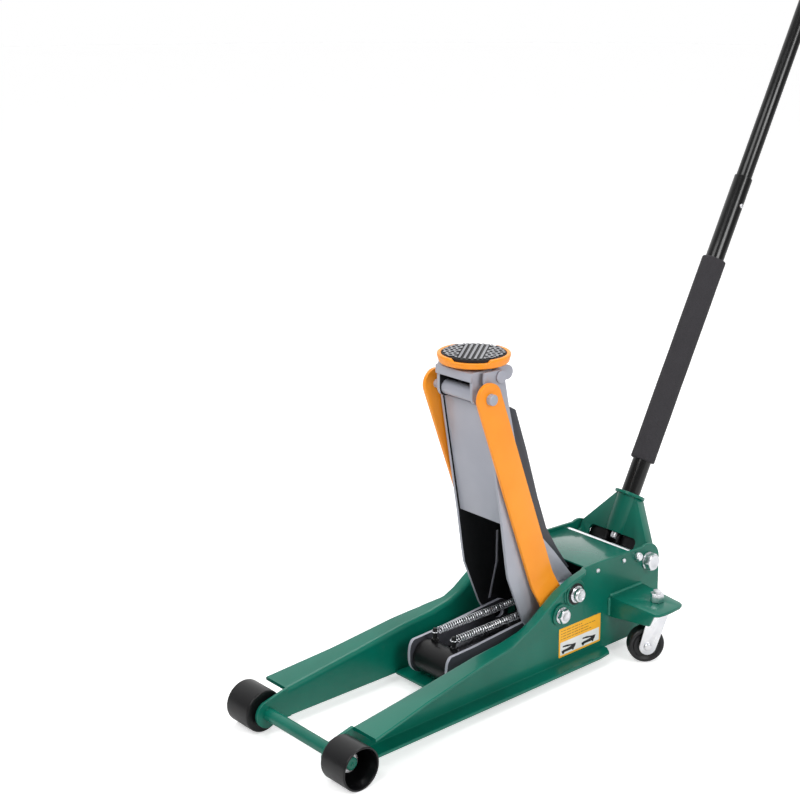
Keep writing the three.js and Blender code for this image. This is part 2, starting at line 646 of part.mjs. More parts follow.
function earShape() {
  const front = LINK_HEAD.x - 14;
  const shape = new THREE.Shape();
  shape.moveTo(front, bracketTop);
  shape.absarc(LINK_HEAD.x, LINK_HEAD.z, 14, Math.PI, rad(300), false);
  shape.lineTo(TOP.x + 6, TOP.z - 12);
  shape.absarc(TOP.x + 26, TOP.z - 1, 10.5, rad(-100), rad(70), false);
  shape.lineTo(TOP.x + 24, bracketTop);
  shape.closePath();
  return shape;
}

function saddleBracket() {
  const earOuter = EAR_HALF + EAR_PLATE;
  const front = LINK_HEAD.x - 14;
  const ears = SIDES.map(([, side]) => slab(earShape(), EAR_HALF * side, earOuter * side));
  const holes = SIDES.flatMap(([, side]) => [
    barY(SADDLE_PIN_RADIUS + RUN, EAR_HALF * side, (earOuter + 5) * side, TOP.x, TOP.z),
    barY(LINK_PIN_RADIUS + RUN, EAR_HALF * side, (earOuter + 5) * side, LINK_HEAD.x, LINK_HEAD.z),
  ]);
  const roof = block(front + 1, TOP.x + 24, -earOuter + 1, earOuter - 1, bracketTop - BRACKET_ROOF, bracketTop);
  const face = block(front - 3.5, front + 1.5, -earOuter, earOuter, TOP.z - 3.5, bracketTop);
  const socket = barZ(SADDLE_STEM + RUN, TOP.z - 5, bracketTop + 9, saddleX, 0);
  return cut(join(roof, face, ...ears), socket, ...holes);
}

const cupUnder = TOP.z + SADDLE_FLOOR;
const cupTop = cupUnder + SADDLE_HEIGHT;
const CUP_FLOOR = 4;

function saddleCup() {
  const under = SADDLE_RADIUS - 3;
  return turnedZ([
    [0, cupUnder - 14], [SADDLE_STEM - 1, cupUnder - 14], [SADDLE_STEM, cupUnder - 13], [SADDLE_STEM, cupUnder],
    [under - 1, cupUnder], [under, cupUnder + 1], [SADDLE_RADIUS, cupTop - 2], [SADDLE_RADIUS - 0.8, cupTop],
    [PAD_RADIUS + GAP, cupTop], [PAD_RADIUS + GAP, cupUnder + CUP_FLOOR], [0, cupUnder + CUP_FLOOR],
  ], saddleX, 0, 36);
}

put("saddle_bracket", saddleBracket(), MATERIAL.arm);
put("saddle_cup", saddleCup(), MATERIAL.link);
put("saddle_pad",
  barZ(PAD_RADIUS, cupUnder + CUP_FLOOR + GAP, TOP.z + PAD_TOP, saddleX, 0, 36), MATERIAL.pad);

// ---------- ram, yoke and return springs ----------
function yokeShape() {
  const nose = CROSSBAR.x - YOKE_NOSE;
  const shape = new THREE.Shape();
  shape.moveTo(CROSSBAR.x + 22, RAM_Z + YOKE_NOSE + 1.5);
  shape.lineTo(CROSSBAR.x - 18, RAM_Z + YOKE_NOSE);
  shape.quadraticCurveTo(nose - 1, RAM_Z + YOKE_NOSE - 2, nose, RAM_Z);
  shape.absarc(CROSSBAR.x, RAM_Z, YOKE_NOSE, Math.PI, rad(262), false);
  shape.absarc(DRIVE.x, DRIVE.z, YOKE_EYE, rad(-100), rad(95), false);
  shape.closePath();
  return shape;
}

function crossbar() {
  const half = YOKE_HALF - GAP;
  const posts = SIDES.map(([, side]) =>
    barZ(HOOK_RADIUS, RAM_Z, SPRING.z + 6, CROSSBAR.x + 6, SPRING.y * side, 12));
  return join(barY(CROSSBAR.radius, -half, half, CROSSBAR.x, RAM_Z), ...posts);
}

for (const [name, side] of SIDES) {
  const eye = barY(9, (YOKE_HALF - 5) * side, (YOKE_HALF + 9) * side, DRIVE.x, DRIVE.z);
  const plate = slab(yokeShape(), YOKE_HALF * side, (YOKE_HALF + YOKE_PLATE) * side);
  put(`yoke_plate_${name}`, cut(plate, eye), MATERIAL.yoke);
}
put("yoke_crossbar", crossbar(), MATERIAL.black);

const ramFront = CROSSBAR.x + CROSSBAR.radius + GAP;
put("ram", barX(RAM_RADIUS, ramFront, RAM_REAR, 0, RAM_Z), MATERIAL.steel);

const springFront = CROSSBAR.x + 6 + HOOK_RADIUS + GAP;
for (const [name, side] of SIDES) {
  put(`return_spring_${name}`,
    barX(SPRING.radius, springFront, SPRING.rear, SPRING.y * side, SPRING.z, 12), MATERIAL.zinc);
}

// ---------- hydraulic unit ----------
const baseTop = FRAME_BOTTOM + BASE.thickness;
const blockFront = BLOCK.front;

function hydraulicCylinder() {
  const rear = blockFront - GAP;
  const post = (side) => {
    const [low, high] = [(SPRING.y - 4) * side, (SPRING.y + 4) * side].sort((a, b) => a - b);
    return block(SPRING.rear + 0.5, SPRING.rear + 6.5, low, high, RAM_Z, SPRING.z + 5);
  };
  const tank = join(
    barX(TANK_RADIUS, TANK_FRONT + 12, rear, 0, RAM_Z, 28), barX(TANK_RADIUS - 5, TANK_FRONT, rear, 0, RAM_Z, 28),
    post(-1), post(1));
  return cut(tank, barX(RAM_RADIUS + RUN, TANK_FRONT - 5, blockFront - 4.5, 0, RAM_Z));
}

const plungerZ = HANDLE.z - ROLLER_DROP;
const plungerFace = HANDLE.x - CAM_RADIUS - PUMP_CLEARANCE;
const headBack = plungerFace - PLUNGER_HEAD.thickness;

function pumpBlock() {
  const body = block(blockFront, BLOCK.rear, -BLOCK.half, BLOCK.half, baseTop + GAP, BLOCK.top - 22);
  const turret = block(blockFront + 6, BLOCK.rear, -28, 28, BLOCK.top - 30, BLOCK.top);
  const foot = block(blockFront + 5, BLOCK.rear + 18, -BLOCK.half + 8, BLOCK.half - 8, baseTop + GAP, baseTop + 28);
  return cut(join(body, turret, foot),
    barX(PLUNGER_RADIUS + RUN, blockFront + 8, BLOCK.rear + 5, 0, plungerZ),
    barX(5 + RUN, BLOCK.rear - 20, BLOCK.rear + 5, 0, HANDLE.z));
}

put("hydraulic_cylinder", hydraulicCylinder(), MATERIAL.black);
put("pump_block", pumpBlock(), MATERIAL.black);
put("pump_plunger", join(
  barX(PLUNGER_RADIUS, blockFront + 25, headBack + 1, 0, plungerZ),
  barX(PLUNGER_HEAD.radius, headBack, plungerFace, 0, plungerZ)), MATERIAL.steel);
put("pump_spring", cut(
  barX(PLUNGER_HEAD.radius - 1, BLOCK.rear + GAP, headBack - GAP, 0, plungerZ),
  barX(PLUNGER_RADIUS + 1, BLOCK.rear - 5, headBack + 5, 0, plungerZ)), MATERIAL.zinc);
put("valve_stem", join(
  barX(5, BLOCK.rear - 18, BLOCK.rear + 20, 0, HANDLE.z),
  barX(6.5, BLOCK.rear + 8, BLOCK.rear + 20, 0, HANDLE.z)), MATERIAL.zinc);

// ---------- handle socket ----------
// Drawn upright with the pivot at the origin, then leant back with the handle.
const leaning = new THREE.Group();
leaning.position.set(HANDLE.x, 0, HANDLE.z);
leaning.rotation.y = rad(HANDLE_LEAN);
jack.add(leaning);

function socketSide(side) {
  const shoulder = 26;
  const outer = [[SOCKET_HALF, 0], [SOCKET_HALF, shoulder], [SOCKET.radius + 1, SOCKET.top - 4]];
  const inner = [
    [SOCKET.radius - 3, SOCKET.top - 4], [SOCKET_HALF - SOCKET_PLATE, shoulder - 2.5],
    [SOCKET_HALF - SOCKET_PLATE, 0],
  ];
  const band = outline([...outer, ...inner].map(([y, z]) => [y * side, z]));
  return join(
    wall(band, -SOCKET_FRONT, 12),
    barY(14, (SOCKET_HALF - SOCKET_PLATE) * side, SOCKET_HALF * side));
}

// The cam hangs below the pivot between two cheeks and pushes the pump plunger.
function camCheeks() {
  const lean = rad(HANDLE_LEAN);
  const [camX, camZ] = [ROLLER_DROP * Math.sin(lean), -ROLLER_DROP * Math.cos(lean)];
  const shape = new THREE.Shape();
  shape.absarc(camX, camZ, CAM_RADIUS - 1, rad(180), rad(360), false);
  shape.lineTo(14, 10);
  shape.lineTo(14, SOCKET.bottom + 6);
  shape.lineTo(1 - SOCKET_FRONT, SOCKET.bottom + 6);
  shape.lineTo(1 - SOCKET_FRONT, 10);
  shape.closePath();
  const cheeks = SIDES.map(([, side]) => slab(shape, 10 * side, 14 * side));
  return join(...cheeks, barY(CAM_RADIUS, -11, 11, camX, camZ));
}

function handleSocket() {
  const front = [
    [-SOCKET_HALF, SOCKET_FOOT], [SOCKET_HALF, SOCKET_FOOT], [SOCKET_HALF, 26],
    [SOCKET.radius + 1, SOCKET.top - 4], [-SOCKET.radius - 1, SOCKET.top - 4], [-SOCKET_HALF, 26],
  ];
  const opening = new THREE.Shape();
  const { half, top, corner } = WINDOW;
  opening.moveTo(-half, SOCKET_FOOT - 9);
  opening.lineTo(half, SOCKET_FOOT - 9);
  opening.absarc(half - corner, top - corner, corner, 0, rad(90), false);
  opening.absarc(corner - half, top - corner, corner, rad(90), rad(180), false);
  const plate = cut(
    wall(outline(front), -SOCKET_FRONT, SOCKET_PLATE - SOCKET_FRONT),
    wall(opening, -SOCKET_FRONT - 5, SOCKET_PLATE - SOCKET_FRONT + 5));
  const shell = join(
    plate, socketSide(-1), socketSide(1), camCheeks(),
    barZ(SOCKET.radius, SOCKET.bottom, SOCKET.top, 0, 0, 28),
    barZ(SOCKET.ring, SOCKET.top - SOCKET.ringThickness, SOCKET.top, 0, 0, 28));
  const holes = SIDES.map(([, side]) => barY(HANDLE_BOLT.radius + RUN, 50 * side, 80 * side));
  return cut(shell, barZ(TUBE_RADIUS + RUN, SOCKET.bottom - 3, SOCKET.top + 5, 0, 0, 28), ...holes);
}
put("handle_socket", handleSocket(), MATERIAL.frame, leaning);

// ---------- handle ----------
const tubeBore = TUBE_RADIUS - TUBE_WALL;
const upperRadius = tubeBore - GAP;
const buttonHole = barY(BUTTON_RADIUS + GAP, -TUBE_RADIUS - 5, -5, 0, BUTTON_AT, 16);

// The lower tube ends in the square drive that turns the release valve.
function lowerTube() {
  const { from, to } = LOWER_TUBE;
  const shell = turnedZ([
    [0, from], [TUBE_RADIUS, from], [TUBE_RADIUS, to], [tubeBore, to], [tubeBore, from + 6], [0, from + 6],
  ]);
  return cut(join(shell, block(-6, 6, -6, 6, from - 20, from + 1)), buttonHole);
}

function upperTube() {
  const { from, to } = UPPER_TUBE;
  const bore = upperRadius - TUBE_WALL;
  return cut(turnedZ([[bore, from], [upperRadius, from], [upperRadius, to], [bore, to], [bore, from]]), buttonHole);
}

function endCap() {
  const { to } = UPPER_TUBE;
  const plug = upperRadius - TUBE_WALL - GAP;
  return turnedZ([
    [0, to - 16], [plug, to - 16], [plug, to + GAP], [upperRadius, to + GAP],
    [upperRadius, to + CAP_THICKNESS - 2], [upperRadius - 2, to + CAP_THICKNESS], [0, to + CAP_THICKNESS],
  ]);
}

function grip() {
  const bore = TUBE_RADIUS + GAP;
  const { from, to, radius } = GRIP;
  return turnedZ([
    [bore, from], [radius - 2, from], [radius, from + 2], [radius, to - 2], [radius - 2, to], [bore, to],
    [bore, from],
  ], 0, 0, 24);
}

put("handle_lower_tube", lowerTube(), MATERIAL.black, leaning);
put("handle_upper_tube", upperTube(), MATERIAL.black, leaning);
put("foam_grip", grip(), MATERIAL.foam, leaning);
put("end_cap", endCap(), MATERIAL.black, leaning);
put("snap_button", turned([
  [0, 8], [BUTTON_RADIUS - GAP, 8], [BUTTON_RADIUS - GAP, TUBE_RADIUS + 1], [BUTTON_RADIUS - 1.6, TUBE_RADIUS + 2.4],
  [0, TUBE_RADIUS + 2.4],
], -1, 0, BUTTON_AT, 12), MATERIAL.zinc, leaning);

// ---------- placing ----------
jack.updateMatrixWorld(true);
const box = new THREE.Box3().setFromObject(jack, true);
jack.position.x = -(box.min.x + box.max.x) / 2;

export default jack;
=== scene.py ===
import json
import math

import bmesh
import bpy
from mathutils import Matrix, Vector, noise


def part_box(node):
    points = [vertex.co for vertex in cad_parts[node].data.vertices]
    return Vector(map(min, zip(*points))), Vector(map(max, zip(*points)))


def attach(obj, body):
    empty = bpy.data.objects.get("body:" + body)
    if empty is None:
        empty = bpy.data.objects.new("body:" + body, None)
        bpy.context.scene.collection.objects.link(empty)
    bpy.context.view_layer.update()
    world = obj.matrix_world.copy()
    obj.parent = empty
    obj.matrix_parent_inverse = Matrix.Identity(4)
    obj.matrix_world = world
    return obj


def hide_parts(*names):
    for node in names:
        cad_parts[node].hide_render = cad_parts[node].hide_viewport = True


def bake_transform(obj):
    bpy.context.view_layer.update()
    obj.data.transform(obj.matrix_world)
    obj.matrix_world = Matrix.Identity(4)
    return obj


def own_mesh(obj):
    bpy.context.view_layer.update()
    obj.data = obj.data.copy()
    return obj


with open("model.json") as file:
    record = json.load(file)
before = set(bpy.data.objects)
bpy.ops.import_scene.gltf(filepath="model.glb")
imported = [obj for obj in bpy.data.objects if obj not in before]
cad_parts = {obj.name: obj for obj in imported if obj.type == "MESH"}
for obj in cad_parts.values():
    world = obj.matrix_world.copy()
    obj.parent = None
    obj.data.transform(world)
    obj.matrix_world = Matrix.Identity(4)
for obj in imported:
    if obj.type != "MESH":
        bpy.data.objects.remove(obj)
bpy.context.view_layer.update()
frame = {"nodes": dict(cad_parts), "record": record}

# Lengths are in millimetres from the front axle (X = 0) and the floor (Z = 0), as on the
# maker's drawing. TO_ROW takes them to the row frame in metres.
MM = 0.001
axle_low, axle_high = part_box("front_axle")
AXLE_X = (axle_low.x + axle_high.x) / 2
TO_ROW = Matrix.Translation((AXLE_X, 0, 0)) @ Matrix.Scale(MM, 4)
FROM_ROW = TO_ROW.inverted()

rad = math.radians

# The pivots of the frame, and the handle's axis leaning back from its own.
MAIN = Vector((457, 0, 123.1))
LINK_FOOT = Vector((427.4, 0, 97.9))
PIVOT = Vector((624.7, 0, 129.2))
HANDLE_LEAN = Matrix.Translation(PIVOT) @ Matrix.Rotation(rad(28.55), 4, "Y")

SIDES = (("left", -1), ("right", 1))
RECORD = frame["record"]
BODY_OF = {node: body for body, nodes in RECORD["behaviour"]["bodies"].items() for node in nodes}
SLOT_OF = {part["node"]: part["material_slot"] for part in RECORD["subparts"]}

# ---------- camera ----------
CAMERA_AT = (-1189.916, -1569.594, 1083.187)
CAMERA_TURN = rad(-41.81376)
CAMERA_TILT = rad(11.81085)

camera = bpy.data.objects.new("camera", bpy.data.cameras.new("camera"))
bpy.context.scene.collection.objects.link(camera)
camera.data.sensor_width = 36
camera.data.lens = 71.417
camera.data.shift_x = -0.02349
camera.data.shift_y = -0.16777
camera.data.clip_start = 0.05
camera.data.clip_end = 60
away = Vector((
    math.sin(CAMERA_TURN) * math.cos(CAMERA_TILT),
    -math.cos(CAMERA_TURN) * math.cos(CAMERA_TILT),
    math.sin(CAMERA_TILT)))
camera.rotation_mode = "QUATERNION"
camera.rotation_quaternion = (-away).to_track_quat("-Z", "Y")
camera.location = TO_ROW @ Vector(CAMERA_AT)
bpy.context.scene.camera = camera
bpy.context.scene.view_settings.view_transform = "Standard"


# ---------- shader groups ----------
def tone(r, g, b):
    """A colour as it looks on screen, 0 to 255, made linear."""
    linear = lambda c: c / 12.92 if c <= 0.04045 else ((c + 0.055) / 1.055) ** 2.4
    return (linear(r / 255), linear(g / 255), linear(b / 255), 1.0)


def new_group(name, inputs, outputs):
    tree = bpy.data.node_groups.new(name, "ShaderNodeTree")
    for label, kind, value in inputs:
        socket = tree.interface.new_socket(name=label, in_out="INPUT", socket_type=kind)
        socket.default_value = value
    for label, kind in outputs:
        tree.interface.new_socket(name=label, in_out="OUTPUT", socket_type=kind)
    return tree, tree.nodes.new("NodeGroupInput"), tree.nodes.new("NodeGroupOutput")


def node(tree, kind, values=(), links=(), **settings):
    """Add a node; values sets sockets by name or index, links feeds them from other sockets."""
    made = tree.nodes.new(kind)
    for key, value in settings.items():
        setattr(made, key, value)
    for key, value in values:
        made.inputs[key].default_value = value
    for key, source in links:
        tree.links.new(source, made.inputs[key])
    return made


def maths(tree, operation, a, b, clamp=False):
    made = tree.nodes.new("ShaderNodeMath")
    made.operation = operation
    made.use_clamp = clamp
    for index, value in enumerate((a, b)):
        if isinstance(value, (int, float)):
            made.inputs[index].default_value = value
        else:
            tree.links.new(value, made.inputs[index])
    return made.outputs[0]


def ramp(tree, source, low, high):
    made = node(tree, "ShaderNodeMapRange", [("From Min", low), ("From Max", high)], [("Value", source)])
    made.interpolation_type = "SMOOTHSTEP"
    return made.outputs[0]


FLOAT, VECTOR = "NodeSocketFloat", "NodeSocketVector"


def paint_skin_group():
    """Sprayed paint: a fine orange-peel height and a slow drift of tone."""
    tree, given, out = new_group(
        "Paint skin", [("Peel Scale", FLOAT, 420.0), ("Drift Scale", FLOAT, 9.0)],
        [("Height", FLOAT), ("Drift", FLOAT), ("Speck", FLOAT)])
    place = node(tree, "ShaderNodeTexCoord").outputs["Object"]
    peel = node(tree, "ShaderNodeTexNoise", [("Detail", 2.0), ("Roughness", 0.45)],
                [("Vector", place), ("Scale", given.outputs["Peel Scale"])])
    drift = node(tree, "ShaderNodeTexNoise", [("Detail", 3.0)],
                 [("Vector", place), ("Scale", given.outputs["Drift Scale"])])
    speck = node(tree, "ShaderNodeTexNoise", [("Scale", 1400.0), ("Detail", 1.0)], [("Vector", place)])
    tree.links.new(peel.outputs["Fac"], out.inputs["Height"])
    tree.links.new(ramp(tree, drift.outputs["Fac"], 0.3, 0.7), out.inputs["Drift"])
    tree.links.new(ramp(tree, speck.outputs["Fac"], 0.68, 0.78), out.inputs["Speck"])
    return tree


def edge_wear_and_highlight_group():
    """A mask of the outer edges, broken up by noise; the finishes lighten these edges, partly for rubbing and
    partly as a painted highlight.
    """
    tree, given, out = new_group(
        "Edge wear", [("Reach", FLOAT, 0.0012), ("Break Scale", FLOAT, 130.0)], [("Mask", FLOAT)])
    round_normal = node(tree, "ShaderNodeBevel", links=[("Radius", given.outputs["Reach"])], samples=6)
    flat_normal = node(tree, "ShaderNodeNewGeometry").outputs["Normal"]
    spread = node(tree, "ShaderNodeVectorMath", operation="DOT_PRODUCT",
                  links=[(0, round_normal.outputs[0]), (1, flat_normal)])
    edge = maths(tree, "SUBTRACT", 1.0, spread.outputs["Value"], True)
    place = node(tree, "ShaderNodeTexCoord").outputs["Object"]
    broken = node(tree, "ShaderNodeTexNoise", [("Detail", 5.0)],
                  [("Vector", place), ("Scale", given.outputs["Break Scale"])])
    mask = maths(tree, "MULTIPLY", ramp(tree, edge, 0.04, 0.26), ramp(tree, broken.outputs["Fac"], 0.35, 0.6))
    tree.links.new(mask, out.inputs["Mask"])
    return tree


def grain_group():
    """Drawn or turned metal: fine scratches along one direction, with slow stains."""
    tree, given, out = new_group(
        "Metal grain", [("Stretch", VECTOR, (60.0, 900.0, 900.0)), ("Stain Scale", FLOAT, 35.0)],
        [("Height", FLOAT), ("Stain", FLOAT)])
    place = node(tree, "ShaderNodeTexCoord").outputs["Object"]
    drawn = node(tree, "ShaderNodeVectorMath", operation="MULTIPLY",
                 links=[(0, place), (1, given.outputs["Stretch"])])
    lines = node(tree, "ShaderNodeTexNoise", [("Scale", 1.0), ("Detail", 4.0)], [("Vector", drawn.outputs[0])])
    stain = node(tree, "ShaderNodeTexNoise", [("Detail", 4.0)],
                 [("Vector", place), ("Scale", given.outputs["Stain Scale"])])
    tree.links.new(lines.outputs["Fac"], out.inputs["Height"])
    tree.links.new(ramp(tree, stain.outputs["Fac"], 0.3, 0.7), out.inputs["Stain"])
    return tree


def pebble_group():
    """Moulded rubber or foam: cells of the given size, with pores between them."""
    tree, given, out = new_group(
        "Rubber pebble", [("Cell Scale", FLOAT, 900.0), ("Drift Scale", FLOAT, 25.0)],
        [("Height", FLOAT), ("Pore", FLOAT), ("Drift", FLOAT)])
    place = node(tree, "ShaderNodeTexCoord").outputs["Object"]
    cells = node(tree, "ShaderNodeTexVoronoi", links=[("Vector", place), ("Scale", given.outputs["Cell Scale"])])
    drift = node(tree, "ShaderNodeTexNoise", [("Detail", 4.0)],
                 [("Vector", place), ("Scale", given.outputs["Drift Scale"])])
    tree.links.new(maths(tree, "SUBTRACT", 1.0, cells.outputs["Distance"]), out.inputs["Height"])
    tree.links.new(ramp(tree, cells.outputs["Distance"], 0.45, 0.75), out.inputs["Pore"])
    tree.links.new(ramp(tree, drift.outputs["Fac"], 0.3, 0.7), out.inputs["Drift"])
    return tree


PAINT_SKIN = paint_skin_group()
EDGE_WEAR_AND_HIGHLIGHT = edge_wear_and_highlight_group()
GRAIN = grain_group()
PEBBLE = pebble_group()


# ---------- finishes ----------
def new_finish(name):
    made = bpy.data.materials.new(name)
    made.use_nodes = True
    shader = made.node_tree.nodes["Principled BSDF"]
    return made, made.node_tree, shader


def use(tree, group, **values):
    made = tree.nodes.new("ShaderNodeGroup")
    made.node_tree = group
    for key, value in values.items():
        made.inputs[key.replace("_", " ")].default_value = value
    return made


def blend_colour(tree, share, first, second):
    made = tree.nodes.new("ShaderNodeMix")
    made.data_type = "RGBA"
    tree.links.new(share, made.inputs["Factor"])
    for socket, value in (("A", first), ("B", second)):
        target = [s for s in made.inputs if s.name == socket and s.type == "RGBA"][0]
        if isinstance(value, tuple):
            target.default_value = value
        else:
            tree.links.new(value, target)
    return [s for s in made.outputs if s.type == "RGBA"][0]


def between(tree, share, low, high):
    return maths(tree, "ADD", maths(tree, "MULTIPLY", share, high - low), low)


def bump(tree, shader, height, strength, distance):
    made = node(tree, "ShaderNodeBump", [("Strength", strength), ("Distance", distance)], [("Height", height)])
    tree.links.new(made.outputs[0], shader.inputs["Normal"])


# The lighter edge tone stands partly for rubbed paint and partly for a painted highlight.
def paint_finish(name, main, deep, worn_and_highlight, roughness=0.3, coat=0.35, peel=420.0, metal=0.0, wear_and_highlight=0.5, relief=0.06):
    made, tree, shader = new_finish(name)
    skin = use(tree, PAINT_SKIN, Peel_Scale=peel)
    wear_and_highlight_mask = use(tree, EDGE_WEAR_AND_HIGHLIGHT)
    base = blend_colour(tree, skin.outputs["Drift"], deep, main)
    share = maths(tree, "MULTIPLY", wear_and_highlight_mask.outputs["Mask"], wear_and_highlight)
    tree.links.new(blend_colour(tree, share, base, worn_and_highlight), shader.inputs["Base Color"])
    rough = between(tree, skin.outputs["Drift"], roughness + 0.07, roughness - 0.04)
    tree.links.new(maths(tree, "ADD", rough, maths(tree, "MULTIPLY", share, 0.12)), shader.inputs["Roughness"])
    shader.inputs["Metallic"].default_value = metal
    shader.inputs["Coat Weight"].default_value = coat
    shader.inputs["Coat Roughness"].default_value = 0.1
    shader.inputs["Specular IOR Level"].default_value = 0.3
    if relief:
        bump(tree, shader, skin.outputs["Height"], relief, 0.0004)
    return made


def metal_finish(name, main, deep, roughness, stretch, depth=0.15):
    made, tree, shader = new_finish(name)
    grain = use(tree, GRAIN, Stretch=stretch)
    wear_and_highlight_mask = use(tree, EDGE_WEAR_AND_HIGHLIGHT, Reach=0.0007)
    base = blend_colour(tree, grain.outputs["Stain"], deep, main)
    # The edges go near white: partly rubbed metal, partly a painted highlight.
    bright = blend_colour(tree, wear_and_highlight_mask.outputs["Mask"], base, tone(246, 246, 248))
    tree.links.new(bright, shader.inputs["Base Color"])
    rough = between(tree, grain.outputs["Stain"], roughness + 0.1, roughness - 0.05)
    tree.links.new(rough, shader.inputs["Roughness"])
    shader.inputs["Metallic"].default_value = 1.0
    bump(tree, shader, grain.outputs["Height"], depth, 0.0002)
    return made


def rubber_finish(name, main, light, roughness, cell, depth, pore=0.5):
    made, tree, shader = new_finish(name)
    pebble = use(tree, PEBBLE, Cell_Scale=cell)
    base = blend_colour(tree, pebble.outputs["Drift"], main, light)
    # The pores between the cells are darkened: painted shade in the recesses.
    dark = tuple(c * 0.4 for c in main[:3]) + (1.0,)
    share = maths(tree, "MULTIPLY", pebble.outputs["Pore"], pore)
    tree.links.new(blend_colour(tree, share, base, dark), shader.inputs["Base Color"])
    rough = between(tree, pebble.outputs["Drift"], roughness - 0.06, roughness + 0.06)
    tree.links.new(rough, shader.inputs["Roughness"])
    bump(tree, shader, pebble.outputs["Height"], depth, 0.0005)
    return made


# Each paint's third tone lightens its outer edges: partly rubbed paint, partly a painted highlight.
GREEN = paint_finish("green enamel", tone(0, 112, 93), tone(0, 99, 82), tone(64, 154, 138), 0.34, 0.26)
COVER_GREEN = paint_finish("cover enamel", tone(14, 112, 95), tone(6, 102, 86), tone(110, 176, 164), 0.24, 1.0)
# The weld bead takes a lighter copy of the frame green: painted highlight.
LIT_WELD_GREEN = paint_finish("weld enamel with painted highlight", tone(44, 132, 114), tone(20, 112, 94), tone(130, 190, 176), 0.3, 0.4)
ORANGE = paint_finish("orange enamel", tone(255, 158, 38), tone(252, 148, 28), tone(255, 196, 112), 0.38, 0.22)
ARM_GREY = paint_finish(
    "grey enamel", tone(174, 176, 186), tone(164, 166, 177), tone(222, 223, 230), 0.38, 0.22, metal=0.1)
# Its edges are lightened strongly: partly rubbed paint, partly a painted highlight.
YOKE_GREY = paint_finish(
    "dark grey enamel", tone(70, 71, 77), tone(58, 59, 65), tone(182, 184, 190), 0.38, 0.22, wear_and_highlight=0.8)
BLACK = paint_finish("black enamel", tone(18, 18, 20), tone(11, 11, 13), tone(58, 59, 62), 0.36, 0.12, relief=0.03)
TUBE_BLACK = paint_finish("tube enamel", tone(9, 9, 10), tone(6, 6, 7), tone(48, 48, 50), 0.3, 0.35, relief=0)
# Near-black for faces inside the arm and the saddle bracket: painted shade.
SHADE = paint_finish("painted shade", tone(26, 27, 30), tone(18, 19, 22), tone(60, 62, 66), 0.6, 0.0)
ZINC = metal_finish("bright zinc", tone(246, 246, 249), tone(232, 233, 238), 0.3, (300.0, 300.0, 300.0), 0.03)
STEEL = metal_finish("ground steel", tone(224, 226, 230), tone(200, 202, 208), 0.2, (40.0, 900.0, 900.0))
OILED = metal_finish("oiled steel", tone(92, 93, 98), tone(72, 73, 78), 0.3, (40.0, 900.0, 900.0))
WHEEL = rubber_finish("wheel nylon", tone(16, 16, 18), tone(24, 24, 26), 0.42, 700.0, 0.06, 0.15)
PAD = rubber_finish("pad rubber", tone(12, 12, 14), tone(18, 18, 20), 0.6, 1200.0, 0.2, 0.3)
RIB = rubber_finish("light rib tops", tone(158, 159, 163), tone(140, 141, 146), 0.6, 1400.0, 0.2, 0.3)
FOAM = rubber_finish("grip foam", tone(50, 48, 52), tone(58, 56, 60), 0.9, 1500.0, 0.5, 0.6)
AMBER = rubber_finish("label amber", tone(255, 190, 40), tone(254, 182, 34), 0.4, 1500.0, 0.02, 0.0)
PAPER = rubber_finish("label white", tone(242, 242, 240), tone(234, 234, 232), 0.4, 1500.0, 0.02, 0.0)
LABEL_INK = rubber_finish("label black", tone(16, 16, 18), tone(24, 24, 26), 0.4, 1500.0, 0.02, 0.0)
LABEL_INK_SOFT = rubber_finish("label brown", tone(176, 112, 22), tone(168, 104, 20), 0.4, 1500.0, 0.02, 0.0)

FINISH = {
    "frame_green": GREEN, "cover_green": COVER_GREEN, "arm_grey": ARM_GREY, "link_orange": ORANGE,
    "gloss_black": BLACK, "yoke_grey": YOKE_GREY, "bright_zinc": ZINC, "machined_steel": STEEL,
    "wheel_rubber": WHEEL, "pad_rubber": PAD, "grip_foam": FOAM,
}

for name, cad in frame["nodes"].items():
    cad.data.materials.clear()
    cad.data.materials.append(FINISH[SLOT_OF[name]])


# ---------- making pieces ----------
def finished(name, bm, body, slot, finish=None, stands_for=(), matrix=None, crease=32, stretch=None):
    """Turns a mesh drawn in millimetres into a piece that rides on a body; with stretch, it is left on no body."""
    if matrix is not None:
        bmesh.ops.transform(bm, matrix=matrix, verts=bm.verts)
    bmesh.ops.remove_doubles(bm, verts=bm.verts, dist=0.002)
    bmesh.ops.recalc_face_normals(bm, faces=bm.faces)
    bmesh.ops.transform(bm, matrix=TO_ROW, verts=bm.verts)
    mesh = bpy.data.meshes.new(name)
    bm.to_mesh(mesh)
    bm.free()
    mesh.shade_smooth()
    mesh.set_sharp_from_angle(angle=rad(crease))
    mesh.materials.append(finish or FINISH[slot])
    piece = bpy.data.objects.new(name, mesh)
    bpy.context.scene.collection.objects.link(piece)
    if stretch:
        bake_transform(piece)
    else:
        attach(piece, body)
    if stands_for:
        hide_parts(*stands_for)
    return piece


def stand_for(part, bm, **more):
    """A finer piece in place of one part of the same name."""
    return finished(f"{part}_shape", bm, BODY_OF[part], SLOT_OF[part], stands_for=(part,), **more)


def softened(part, edge=0.6, steps=2, crease=32, **more):
    """The part with its edges rounded, as a press, a saw and paint leave them."""
    bm = bmesh.new()
    bm.from_mesh(frame["nodes"][part].data)
    bmesh.ops.transform(bm, matrix=FROM_ROW, verts=bm.verts)
    bmesh.ops.remove_doubles(bm, verts=bm.verts, dist=0.002)
    bmesh.ops.dissolve_limit(bm, angle_limit=rad(0.8), verts=bm.verts, edges=bm.edges)
    sharp = [e for e in bm.edges if len(e.link_faces) == 2 and e.calc_face_angle(0) > rad(crease)]
    bmesh.ops.bevel(bm, geom=sharp, offset=edge, segments=steps, profile=0.5,
                    affect="EDGES", clamp_overlap=True)
    return stand_for(part, bm, **more)


